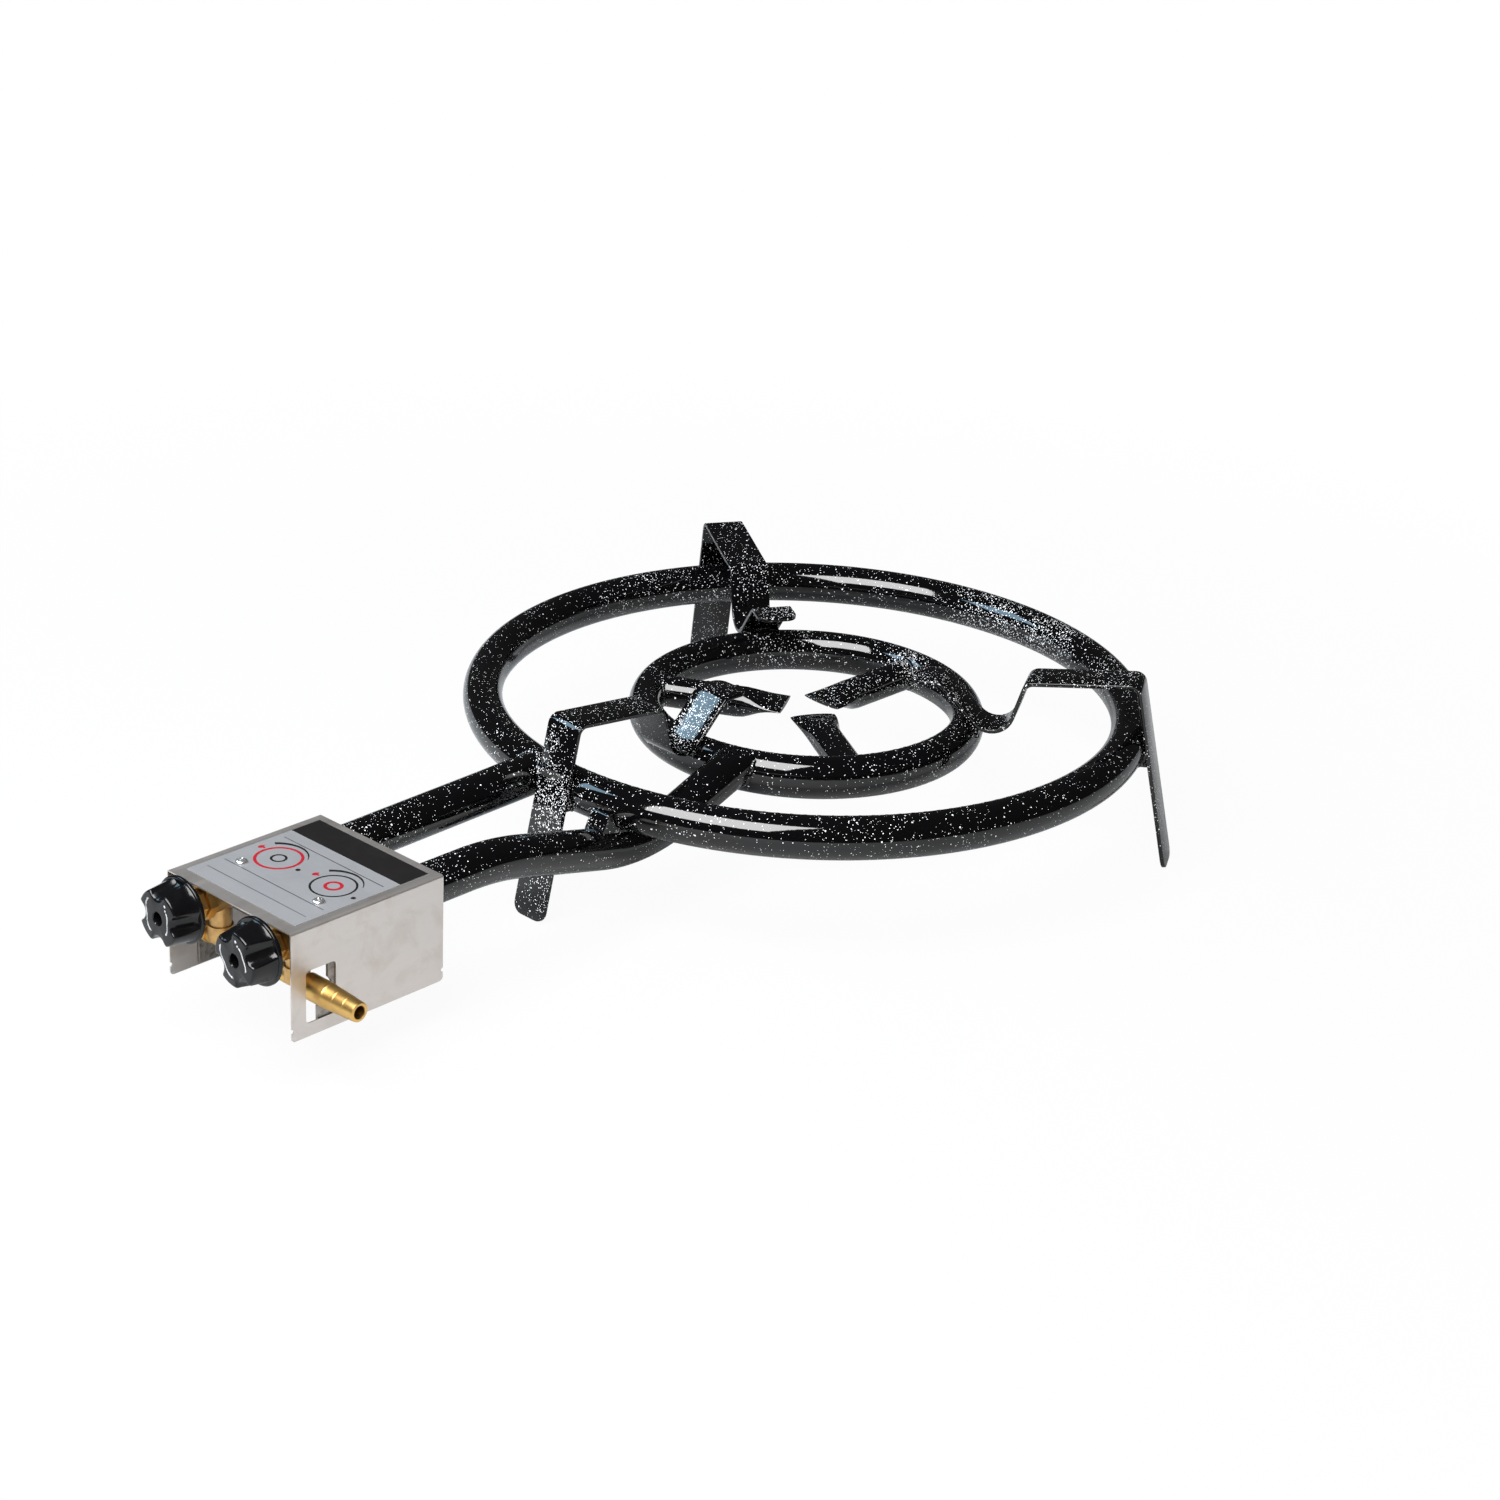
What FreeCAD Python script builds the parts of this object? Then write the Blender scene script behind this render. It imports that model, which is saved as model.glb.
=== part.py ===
"""Propane burner with two rings, three legs, two taps under a steel cover, and a hose nozzle.

Frame: +Z is up, +Y runs from the knobs to the rings, +X points out of the hose nozzle.
The origin lies on the ground, under the middle of the object.
"""
import FreeCAD, Part
import math
import os
from FreeCAD import Vector

os.makedirs("parts", exist_ok=True)

X = Vector(1, 0, 0)
Y = Vector(0, 1, 0)
Z = Vector(0, 0, 1)

# Overall sizes
overall_length = 816.0
outer_ring_diameter = 500.0
inner_ring_diameter = 260.0
outer_ring_height = 88.3
inner_ring_height = 78.5
crest_height = 138.7
leg_angle = -91.0
leg_count = 3

# Ring tubes, which bending has left slightly oval
outer_tube_width = 28.5
outer_tube_height = 30.3
inner_tube_width = 24.8
inner_tube_height = 31.2
tube_wall = 1.5

# Gas ports, in two staggered rows just inside the crown of each ring
port_diameter = 1.8
port_pitch = 9.3
port_row_insets = (2.0, 4.7)
port_start_share = 0.25
port_drill_length = 8.0

# Stub burners, which are tubes with a flattened inner end
stub_diameter = 23.0
stub_flat_start = 48.0
stub_flat_mid = 30.0
stub_tip_radius = 16.0
stub_mid_width = 31.0
stub_mid_height = 12.4
stub_mid_rise = 1.6
stub_tip_width = 34.0
stub_tip_rise = 2.6
stub_tip_gap = 0.4
stub_seam = 4.0
stub_port_pitch = 11.0
stub_port_offset = 3.5

# Supply tubes
supply_diameter = 29.0
supply_leg_gap = 2.9
inner_supply_drift = 5.0
dip_inset = 19.2
crossing_gap = 0.6
first_bend_outset = 116.0
first_bend_radius = 200.0
dip_bend_radius = 130.0
inner_supply_rise = 19.8

# Legs, each one bent strip
leg_width = 30.0
leg_thickness = 3.0
leg_lean = 12.5
rest_slope = 6.6
rest_length = 82.5
drop_angle = 16.1
rise_angle = 45.0
peak_height = 121.2
lip_length = 22.5
lip_slope = 2.0
crest_bend_radius = 8.0
rest_bend_radius = 9.0
valley_bend_radius = 15.0
peak_bend_radius = 6.0
foot_corner_radius = 8.0
lip_corner_radius = 8.0
weld_gap = 0.1

# Weld beads
leg_weld_width = 26.0
outer_weld_drop = 11.3
inner_weld_rise = 5.5
inner_weld_height = 7.0
saddle_weld_width = 17.0
saddle_weld_outset = 12.0
saddle_weld_inset = 22.0
saddle_weld_rise = 8.0

# Cover, a folded steel sheet
cover_width = 120.5
cover_depth = 124.0
cover_height = 74.6
cover_sheet = 0.8
cover_bend_radius = 1.6
cover_offset = 7.5
cover_corner_radius = 3.0
window_length = 24.0
window_height = 36.0
window_inset = 11.5
window_drop = 29.3
window_corner_radius = 3.0
notch_radius = 1.6
notch_rise = 7.5

# Label plate on the cover
label_width = 106.0
label_depth = 108.0
label_thickness = 0.3
label_inset = 10.0

# Bracket that carries the taps, the supply tubes and the cover
bracket_sheet = 2.0
bracket_bend_radius = 3.0
bracket_fit = 0.3
bracket_setback = 72.0
bracket_lip = 18.0
plate_bottom = 66.0
wing_front = 47.5
wing_bottom = 33.0
wing_notch_gap = 1.6
air_hole_diameter = 6.0
air_hole_reach = 9.7
air_hole_angle = 60.0

# Taps, measured back from the front faces of the knobs
tap_spacing = 75.0
push_travel = 3.0
running_fit = 0.05
end_gap = 0.1
spindle_diameter = 7.9
spindle_start = 10.0
spindle_end = 36.0
tongue_width = 6.0
tongue_thickness = 2.5
tongue_length = 7.0
stop_diameter = 10.0
stop_length = 2.0
spring_length = 2.8
spring_wall = 1.0
spring_slack = 0.55
seal_section = 1.6
seal_setback = 23.3
seal_gap = 0.03
seal_groove_slack = 0.1
gland_boss_start = 21.5
gland_boss_diameter = 12.5
gland_start = 25.0
gland_length = 8.0
gland_wall = 2.5
gland_flats = 17.0
neck_start = 28.5
neck_diameter = 14.0
bonnet_start = 34.0
bonnet_length = 6.0
bonnet_flats = 20.0
barrel_diameter = 19.0
barrel_end = 63.0
plug_diameter = 13.0
plug_length = 20.0
plug_port = 5.0
plug_groove_width = 2.0
plug_groove_depth = 1.0
plug_groove_sweep = 150.0
riser_diameter = 14.0
riser_collar_diameter = 16.5
riser_collar_height = 4.0
riser_bore = 6.0
outlet_diameter = 12.0
outlet_overrun = 3.0
outlet_bore = 4.0
outlet_fit = 0.15
ear_width = 31.0
ear_height = 10.5
ear_thickness = 3.0
ear_screw_spacing = 24.0
ear_screw_diameter = 3.5
ear_screw_head_diameter = 5.6
ear_screw_head_height = 2.0
jet_flats = 9.0
jet_hex_length = 5.0
jet_tip_length = 4.0
jet_tip_diameter = 4.5
jet_bore = 0.9

# Manifold and hose nozzle
manifold_setback = 49.5
manifold_height = 58.6
manifold_diameter = 12.0
manifold_bore = 9.0
manifold_left_overhang = 11.6
manifold_right_overhang = 19.0
plug_cap_diameter = 14.0
plug_cap_overlap = 3.0
plug_cap_length = 7.0
plug_cap_edge = 2.0
washer_thickness = 1.0
washer_bore = 8.6
nozzle_collar_diameter = 16.8
nozzle_overlap = 8.0
nozzle_collar_length = 21.0
nozzle_bore = 8.5
barb_length = 9.0
barb_count = 2
barb_diameter = 16.0
barb_step = 0.5
barb_drop = 1.2
nozzle_taper_length = 3.5
nozzle_land_length = 5.5
nozzle_land_diameter = 12.6

# Knobs
knob_depth = 20.5
knob_front_radius = 18.8
knob_skirt_radius = 20.6
knob_rear_radius = 22.5
knob_rim_length = 2.6
knob_flute_radius = 8.0
knob_flute_front = 12.4
knob_flute_back = 18.0
knob_lobes = 4
left_knob_turn = 0.0
right_knob_turn = 27.0
knob_front_round = 1.6
knob_rim_round = 1.0
knob_hole_diameter = 8.6
knob_cavity_radius = 13.0
knob_cavity_depth = 11.0
knob_hub_radius = 8.0
bush_diameter = 11.0
bush_length = 7.0

# Cover screws and nuts
screw_setback = 67.0
screw_diameter = 4.0
screw_head_diameter = 8.0
screw_head_height = 2.6
screw_hole_fit = 0.25
screw_head_edge = 1.2
screw_length = 6.5
nut_flats = 7.0
nut_thickness = 3.2

# Spare length that lets a cutter pass right through
overrun = 5.0

# Places that follow from the sizes
knob_face_y = -overall_length / 2
ring_y = overall_length / 2 - outer_ring_diameter / 2
outer_ring_radius = (outer_ring_diameter - outer_tube_width) / 2
inner_ring_radius = (inner_ring_diameter - inner_tube_width) / 2
supply_radius = supply_diameter / 2
tap_height = outer_ring_height
tap_left_x = cover_offset - tap_spacing / 2
tap_right_x = cover_offset + tap_spacing / 2
lip_top = tap_height + supply_radius + bracket_sheet
cover_top = lip_top + cover_sheet
cover_bottom = cover_top - cover_height
cover_left = cover_offset - cover_width / 2
cover_right = cover_offset + cover_width / 2
plate_front_y = knob_face_y + bracket_setback
plate_back_y = plate_front_y + bracket_sheet
manifold_y = knob_face_y + manifold_setback
manifold_left = tap_left_x - manifold_left_overhang
manifold_right = tap_right_x + manifold_right_overhang
cover_setback = window_inset + window_length / 2
cover_front_y = manifold_y - cover_setback
cover_back_y = cover_front_y + cover_depth


def save(shape, node):
    """Write one sub-part to its own file."""
    if isinstance(shape, (list, tuple)):
        shape = Part.makeCompound(list(shape))
    elif len(shape.Solids) == 1:
        shape = shape.Solids[0]
    shape.exportStep("parts/" + node + ".step")


def cylinder(radius, length, start, direction):
    """Round bar from a start point along a direction."""
    return Part.makeCylinder(radius, length, start, direction)


def pipe(outer, inner, length, start, direction):
    """Round tube with a bore right through."""
    return cylinder(outer, length, start, direction).cut(cylinder(inner, length, start, direction))


def block(x0, x1, y0, y1, z0, z1):
    """Box between two corners."""
    return Part.makeBox(x1 - x0, y1 - y0, z1 - z0, Vector(x0, y0, z0))


def cross_direction(direction):
    """A direction square to an axis direction."""
    return X if direction.cross(Z).Length == 0 else Z


def turned(profile, base, direction):
    """Solid turned about an axis, from pairs of distance along it and radius."""
    across = cross_direction(direction)
    points = [base + direction * distance + across * radius for distance, radius in profile]
    wire = Part.makePolygon(points + [points[0]])
    return Part.Face(wire).revolve(base, direction, 360)


def hexagon(flats, length, start, direction):
    """Hexagonal bar along a direction."""
    across = cross_direction(direction)
    other = direction.cross(across)
    corner = flats / math.sqrt(3)
    points = []
    for k in range(6):
        angle = math.radians(60 * k + 30)
        points.append(start + across * (corner * math.cos(angle)) + other * (corner * math.sin(angle)))
    wire = Part.makePolygon(points + [points[0]])
    return Part.Face(wire).extrude(direction * length)


def rounded_path(points, radii):
    """Wire of straight runs joined by tangent arcs, one radius for each inner point."""
    edges = []
    start = points[0]
    for before, corner, after, radius in zip(points, points[1:], points[2:], radii):
        back = (before - corner).normalize()
        ahead = (after - corner).normalize()
        half = back.getAngle(ahead) / 2
        reach = radius / math.tan(half)
        middle = (back + ahead).normalize()
        centre = corner + middle * (radius / math.sin(half))
        enter = corner + back * reach
        leave = corner + ahead * reach
        edges.append(Part.LineSegment(start, enter).toShape())
        edges.append(Part.Arc(enter, centre - middle * radius, leave).toShape())
        start = leave
    edges.append(Part.LineSegment(start, points[-1]).toShape())
    return Part.Wire(edges)


def rounded_rectangle(corner, along, up, radius):
    """Face of a rectangle with four rounded corners."""
    middle = corner + along / 2
    points = [middle, corner + along, corner + along + up, corner + up, corner, middle]
    return Part.Face(rounded_path(points, [radius] * 4))


def strip_face(points, radii, thickness, normal):
    """Face of a bent strip; the points follow one side, and the strip lies to their left."""
    headings = [(b - a).normalize() for a, b in zip(points, points[1:])]
    lefts = [normal.cross(heading) for heading in headings]
    inner = [points[0] + lefts[0] * thickness]
    inner_radii = []
    for k, radius in enumerate(radii):
        spread = 1 + lefts[k].dot(lefts[k + 1])
        inner.append(points[k + 1] + (lefts[k] + lefts[k + 1]) * (thickness / spread))
        turns_left = headings[k].cross(headings[k + 1]).dot(normal) > 0
        inner_radii.append(radius - thickness if turns_left else radius + thickness)
    inner.append(points[-1] + lefts[-1] * thickness)
    outside = rounded_path(points, radii)
    inside = rounded_path(inner[::-1], inner_radii[::-1])
    last = Part.LineSegment(points[-1], inner[-1]).toShape()
    first = Part.LineSegment(inner[0], points[0]).toShape()
    return Part.Face(Part.Wire(outside.Edges + [last] + inside.Edges + [first]))


def swept(path, radius):
    """Round bar along a wire."""
    first = path.Edges[0]
    start = first.valueAt(first.FirstParameter)
    direction = first.tangentAt(first.FirstParameter)
    profile = Part.Wire(Part.Circle(start, direction, radius).toShape())
    return path.makePipeShell([profile], True, False)


def oval_ring(radius, width, tube_height, height, wall=0):
    """Solid ring of oval section round the ring axis, drawn in by a wall."""
    centre = Vector(radius, ring_y, height)
    half_width = width / 2 - wall
    half_height = tube_height / 2 - wall
    if half_width > half_height:
        ellipse = Part.Ellipse(centre + X * half_width, centre + Z * half_height, centre)
    else:
        ellipse = Part.Ellipse(centre + Z * half_height, centre + X * half_width, centre)
    face = Part.Face(Part.Wire(ellipse.toShape()))
    return face.revolve(Vector(0, ring_y, height), Z, 360)


def about_rings(shape, angle):
    """Copy of a shape turned about the axis of the rings."""
    copy = shape.copy()
    copy.rotate(Vector(0, ring_y, 0), Z, angle)
    return copy


def ring_ports(radius, width, tube_height, height):
    """Drills for the two staggered rows of gas ports in one ring."""
    drills = []
    count = round(2 * math.pi * radius / port_pitch)
    for row, inset in enumerate(port_row_insets):
        foot = Vector(radius - inset, ring_y, height + tube_height / 2 - port_drill_length / 2)
        drill = cylinder(port_diameter / 2, port_drill_length, foot, Z)
        for k in range(count):
            drills.append(about_rings(drill, 360 * (k + row / 2 + port_start_share) / count))
    return drills


def tube_reach(normal, radius, width, tube_height, height):
    """How far a ring's tube reaches along a direction, in the plane of a leg."""
    half = math.hypot(width / 2 * normal.x, tube_height / 2 * normal.z)
    return normal.dot(Vector(radius, 0, height)) + half


outer_tube = (outer_ring_radius, outer_tube_width, outer_tube_height, outer_ring_height)
inner_tube = (inner_ring_radius, inner_tube_width, inner_tube_height, inner_ring_height)
outer_ring_body = oval_ring(*outer_tube)
inner_ring_body = oval_ring(*inner_tube)


def outer_supply_path():
    """Straight line from the left tap to the middle of the outer ring's tube, beside the front leg."""
    leg_x = outer_ring_radius * math.cos(math.radians(leg_angle))
    end_x = leg_x - leg_width / 2 - supply_leg_gap - supply_radius
    end_y = ring_y - math.sqrt(outer_ring_radius ** 2 - end_x ** 2)
    start = Vector(tap_left_x, plate_back_y - overrun, tap_height)
    return Part.Wire(Part.LineSegment(start, Vector(end_x, end_y, outer_ring_height)).toShape())


def dip_centre(x):
    """Centre of the bend that takes the right supply tube close under the outer ring."""
    bend_y = ring_y - outer_ring_radius + dip_inset
    ring_under_y = ring_y - math.sqrt(outer_ring_radius ** 2 - x ** 2)
    reach = dip_bend_radius - supply_radius - crossing_gap
    rise = math.sqrt(reach ** 2 - (bend_y - ring_under_y) ** 2)
    return Vector(x, bend_y, outer_ring_height - outer_tube_height / 2 + rise)


def inner_supply_path():
    """Line from the right tap that dips under the outer ring and climbs to the inner ring."""
    end_x = tap_right_x - inner_supply_drift
    first = Vector(tap_right_x, ring_y - outer_ring_radius - first_bend_outset, tap_height)
    centre = dip_centre(end_x)
    away = Vector(0, centre.y - first.y, centre.z - first.z)
    fall = math.asin(dip_bend_radius / away.Length) - math.atan2(away.z, away.y)
    rise = math.radians(inner_supply_rise)
    middle = (rise - fall) / 2
    corner_reach = dip_bend_radius / math.cos((rise + fall) / 2)
    dip = centre + Vector(0, math.sin(middle), -math.cos(middle)) * corner_reach
    end_y = ring_y - math.sqrt(inner_ring_radius ** 2 - end_x ** 2)
    end = Vector(end_x, end_y, dip.z + (end_y - dip.y) * math.tan(rise))
    start = Vector(tap_right_x, plate_back_y - overrun, tap_height)
    return rounded_path([start, first, dip, end], [first_bend_radius, dip_bend_radius])


outer_supply_bar = swept(outer_supply_path(), supply_radius)
outer_supply_bore = swept(outer_supply_path(), supply_radius - tube_wall)
inner_supply_bar = swept(inner_supply_path(), supply_radius)
inner_supply_bore = swept(inner_supply_path(), supply_radius - tube_wall)


def stub_section(reach, width, height, rise):
    """Oval outline across a stub burner, at a distance from the ring axis."""
    centre = Vector(reach, ring_y, inner_ring_height + rise)
    ellipse = Part.Ellipse(centre + Y * (width / 2), centre + Z * (height / 2), centre)
    return Part.Wire(ellipse.toShape())


def stub_bar(wall, tip_reach):
    """Stub burner as one solid, drawn in all round by a wall."""
    width = stub_diameter - 2 * wall
    centre = Vector(stub_flat_start, ring_y, inner_ring_height)
    circle = Part.Circle(centre, X, width / 2)
    mid_width = stub_mid_width - 2 * wall
    mid = stub_section(stub_flat_mid, mid_width, stub_mid_height - 2 * wall, stub_mid_rise)
    tip_height = 2 * tube_wall + stub_tip_gap
    tip_width = stub_tip_width - 2 * wall
    tip = stub_section(tip_reach, tip_width, tip_height - 2 * wall, stub_tip_rise)
    flat = Part.makeLoft([Part.Wire(circle.toShape()), mid, tip], True, False)
    return cylinder(width / 2, inner_ring_radius - stub_flat_start, centre, X).fuse(flat)


def stub_ports():
    """Drills for the two staggered rows of gas ports along a stub burner."""
    drills = []
    room = inner_ring_diameter / 2 - inner_tube_width - stub_flat_start
    count = int(room / stub_port_pitch)
    for side in (0, 1):
        for k in range(count):
            reach = stub_flat_start + stub_port_pitch * (k + (side + 1) / 2)
            across = stub_port_offset * (2 * side - 1)
            foot = Vector(reach, ring_y + across, inner_ring_height + tube_wall)
            drills.append(cylinder(port_diameter / 2, stub_diameter / 2, foot, Z))
    return drills


def make_burner_stub(angle):
    """Stub burner with a flattened inner end, coped onto the inner ring."""
    stub = stub_bar(0, stub_tip_radius).cut(stub_bar(tube_wall, stub_tip_radius + stub_seam))
    stub = stub.cut(stub_ports())
    return about_rings(stub, angle).cut(inner_ring_body)


def make_outer_ring():
    """Outer ring tube with its gas ports and the inlet from its supply tube."""
    ring = outer_ring_body.cut([oval_ring(*outer_tube, tube_wall), outer_supply_bore])
    return ring.cut(ring_ports(*outer_tube))


def make_inner_ring():
    """Inner ring tube with its gas ports and the inlets of its supply tube and stub burners."""
    ring = inner_ring_body.cut([oval_ring(*inner_tube, tube_wall), inner_supply_bore])
    start = Vector(stub_flat_start, ring_y, inner_ring_height)
    inlet = cylinder(stub_diameter / 2 - tube_wall, inner_ring_radius - stub_flat_start, start, X)
    ring = ring.cut([about_rings(inlet, angle) for angle in stub_angles()])
    return ring.cut(ring_ports(*inner_tube))


def leg_points():
    """Corners of the leg strip's outer side, from foot to lip, in the plane of the leg."""
    lean = math.radians(leg_lean)
    slope = math.radians(rest_slope)
    fall = math.radians(drop_angle)
    rise = math.radians(rise_angle)
    lip = math.radians(lip_slope)
    outward = Vector(math.cos(lean), 0, math.sin(lean))
    upward = Vector(math.sin(rise), 0, math.cos(rise))
    outer_reach = tube_reach(outward, *outer_tube) + weld_gap + leg_thickness
    inner_reach = tube_reach(upward, *inner_tube) + weld_gap + leg_thickness
    down = Vector(math.sin(lean), 0, -math.cos(lean))
    inward = Vector(-math.cos(slope), 0, -math.sin(slope))
    half = down.getAngle(inward) / 2
    middle = (down + inward).normalize()
    crest_z = crest_height - crest_bend_radius - middle.z * crest_bend_radius / math.sin(half)
    foot_x = (outer_reach + overrun * outward.z) / outward.x
    crest = Vector((outer_reach - crest_z * outward.z) / outward.x, 0, crest_z)
    drop = crest + inward * rest_length
    falling = Vector(-math.sin(fall), 0, -math.cos(fall))
    valley = drop + falling * ((inner_reach - upward.dot(drop)) / upward.dot(falling))
    peak = Vector((inner_reach - peak_height * upward.z) / upward.x, 0, peak_height)
    tip = peak + Vector(-math.cos(lip), 0, -math.sin(lip)) * lip_length
    return [Vector(foot_x, 0, -overrun), crest, drop, valley, peak, tip]


def leg_bar():
    """Leg strip along +X, with rounded corners at its foot and at its lip."""
    points = leg_points()
    radii = [crest_bend_radius, rest_bend_radius, valley_bend_radius, peak_bend_radius]
    strip = strip_face(points, radii, leg_thickness, -Y).extrude(Y * (leg_width + 2 * overrun))
    strip.translate(Y * -(leg_width / 2 + overrun))
    tip_x = points[-1].x
    length = points[0].x - tip_x
    near = Vector(tip_x, -leg_width / 2, 0)
    side = Y * leg_width
    front = rounded_rectangle(near, side, Z * (crest_height + 2 * foot_corner_radius), foot_corner_radius)
    above = rounded_rectangle(near, side, X * (length + 2 * lip_corner_radius), lip_corner_radius)
    leg = strip.common(front.extrude(X * (length + overrun)))
    leg = leg.common(above.extrude(Z * (crest_height + overrun)))
    leg.translate(Y * ring_y)
    return leg


def leg_angles():
    """Directions of the legs, seen from the ring axis."""
    return [leg_angle + 360 * k / leg_count for k in range(leg_count)]


def stub_angles():
    """Directions of the stub burners, each half way between two legs."""
    return [angle - 180 / leg_count for angle in leg_angles()]


def make_leg_welds():
    """Weld beads that join each leg to the outer ring and to the inner ring."""
    leg = leg_bar()
    lean = math.radians(leg_lean)
    outer_low = outer_ring_height - outer_weld_drop
    face_x = leg_points()[1].x - leg_thickness / math.cos(lean)
    face_x += (leg_points()[1].z - outer_low) * math.tan(lean)
    inner_x = inner_ring_diameter / 2
    y0 = ring_y - leg_weld_width / 2
    y1 = ring_y + leg_weld_width / 2
    outer = block(outer_ring_radius, face_x, y0, y1, outer_low, outer_ring_height)
    inner_low = inner_ring_height + inner_weld_rise
    inner = block(inner_ring_radius, inner_x, y0, y1, inner_low, inner_low + inner_weld_height)
    beads = [outer.cut([outer_ring_body, leg]), inner.cut([inner_ring_body, leg])]
    return [about_rings(bead, angle).Solids[0] for angle in leg_angles() for bead in beads]


def make_crossing_weld():
    """Weld saddle between the outer ring and the supply tube that passes under it."""
    x0 = tap_right_x - inner_supply_drift - saddle_weld_width / 2
    edge_y = ring_y - outer_ring_diameter / 2
    low = outer_ring_height - outer_tube_height / 2 - saddle_weld_rise
    corners = [
        Vector(x0, edge_y, outer_ring_height),
        Vector(x0, edge_y - saddle_weld_outset, low),
        Vector(x0, edge_y + saddle_weld_inset, low),
        Vector(x0, edge_y + saddle_weld_inset, outer_ring_height),
    ]
    prism = Part.Face(Part.makePolygon(corners + [corners[0]])).extrude(X * saddle_weld_width)
    return prism.cut([outer_ring_body, inner_supply_bar])


def before_plate():
    """Space in front of the bracket's back face, where the supply tubes are cut square."""
    return block(
        cover_left, cover_right, plate_back_y - 3 * overrun, plate_back_y, cover_bottom, cover_top)


def make_outer_supply_tube():
    """Straight tube from the left tap into the outer ring."""
    return outer_supply_bar.cut([outer_supply_bore, outer_ring_body, before_plate()])


def make_inner_supply_tube():
    """Bent tube from the right tap into the inner ring."""
    return inner_supply_bar.cut([inner_supply_bore, inner_ring_body, before_plate()])


def tap_base(x):
    """Point on a tap's axis, level with the front of its knob."""
    return Vector(x, knob_face_y, tap_height)


def along_tap(x, setback):
    """Point on a tap's axis at a distance behind the front of its knob."""
    return tap_base(x) + Y * setback


def screw_spots(x):
    """Places of the two screws in the ears of a tap."""
    ear = along_tap(x, bracket_setback - ear_thickness)
    return [ear - X * (ear_screw_spacing / 2), ear + X * (ear_screw_spacing / 2)]


def make_bracket():
    """Folded bracket: back plate, two wings beside the taps and a lip under the cover."""
    gap = cover_sheet + bracket_fit
    left = cover_left + gap
    right = cover_right - gap
    front = knob_face_y + wing_front
    plan = [
        Vector(right, front, wing_bottom),
        Vector(right, plate_back_y, wing_bottom),
        Vector(left, plate_back_y, wing_bottom),
        Vector(left, front, wing_bottom),
    ]
    wing_height = lip_top - cover_bend_radius - wing_bottom
    fold = strip_face(plan, [bracket_bend_radius] * 2, bracket_sheet, Z).extrude(Z * wing_height)
    lip_front = plate_back_y - bracket_lip
    sheet = fold.cut(block(
        left + bracket_bend_radius, right - bracket_bend_radius, front, plate_back_y + overrun,
        wing_bottom - overrun, plate_bottom))
    sheet = sheet.cut(block(
        left - overrun, right + overrun, front - overrun, lip_front, manifold_height, lip_top + overrun))
    lip = block(
        left + bracket_sheet, right - bracket_sheet, lip_front, plate_front_y,
        lip_top - bracket_sheet, lip_top)
    sheet = sheet.fuse(lip)
    notch = nozzle_collar_diameter / 2 + wing_notch_gap
    cuts = [cylinder(notch, cover_width, Vector(left, manifold_y, manifold_height), X)]
    for x in (tap_left_x, tap_right_x):
        plate = Vector(x, plate_front_y - overrun, tap_height)
        through = bracket_sheet + 2 * overrun
        cuts.append(cylinder(outlet_diameter / 2 + outlet_fit, through, plate, Y))
        for turn in (air_hole_angle, 180 - air_hole_angle, 180 + air_hole_angle, -air_hole_angle):
            spot = Vector(math.cos(math.radians(turn)), 0, math.sin(math.radians(turn)))
            cuts.append(cylinder(air_hole_diameter / 2, through, plate + spot * air_hole_reach, Y))
        for spot in screw_spots(x):
            cuts.append(cylinder(ear_screw_diameter / 2, ear_thickness + through, spot, Y))
        hole = Vector(x, knob_face_y + screw_setback, lip_top - bracket_sheet - overrun)
        cuts.append(cylinder(screw_diameter / 2 + screw_hole_fit, bracket_sheet + 2 * overrun, hole, Z))
    return sheet.cut(cuts)


def make_cover():
    """Folded steel cover with a window for the hose nozzle in its right side."""
    section = [
        Vector(cover_right, cover_front_y - overrun, cover_bottom - overrun),
        Vector(cover_right, cover_front_y - overrun, cover_top),
        Vector(cover_left, cover_front_y - overrun, cover_top),
        Vector(cover_left, cover_front_y - overrun, cover_bottom - overrun),
    ]
    outline = strip_face(section, [cover_bend_radius] * 2, cover_sheet, -Y)
    sheet = outline.extrude(Y * (cover_depth + 2 * overrun))
    corner = Vector(cover_left - overrun, cover_front_y, cover_bottom)
    side = rounded_rectangle(
        corner, Y * cover_depth, Z * (cover_height + 2 * cover_corner_radius), cover_corner_radius)
    sheet = sheet.common(side.extrude(X * (cover_width + 2 * overrun)))
    window_z = cover_top - window_drop - window_height
    window = rounded_rectangle(
        Vector(cover_right - overrun, cover_front_y + window_inset, window_z),
        Y * window_length, Z * window_height, window_corner_radius)
    cuts = [window.extrude(X * 2 * overrun)]
    for y in (cover_front_y, cover_back_y):
        start = Vector(cover_left - overrun, y, cover_bottom + notch_rise)
        cuts.append(cylinder(notch_radius, cover_width + 2 * overrun, start, X))
    for x in (tap_left_x, tap_right_x):
        hole = Vector(x, knob_face_y + screw_setback, cover_top - overrun)
        cuts.append(cylinder(screw_diameter / 2 + screw_hole_fit, 2 * overrun, hole, Z))
    return sheet.cut(cuts)


def make_label():
    """Thin plate on the cover, under the heads of the cover screws."""
    y0 = cover_front_y + label_inset
    x0 = cover_offset - label_width / 2
    plate = block(x0, x0 + label_width, y0, y0 + label_depth, cover_top, cover_top + label_thickness)
    cuts = []
    for x in (tap_left_x, tap_right_x):
        hole = Vector(x, knob_face_y + screw_setback, cover_top - overrun)
        cuts.append(cylinder(screw_diameter / 2 + screw_hole_fit, 2 * overrun, hole, Z))
    return plate.cut(cuts)


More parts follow.
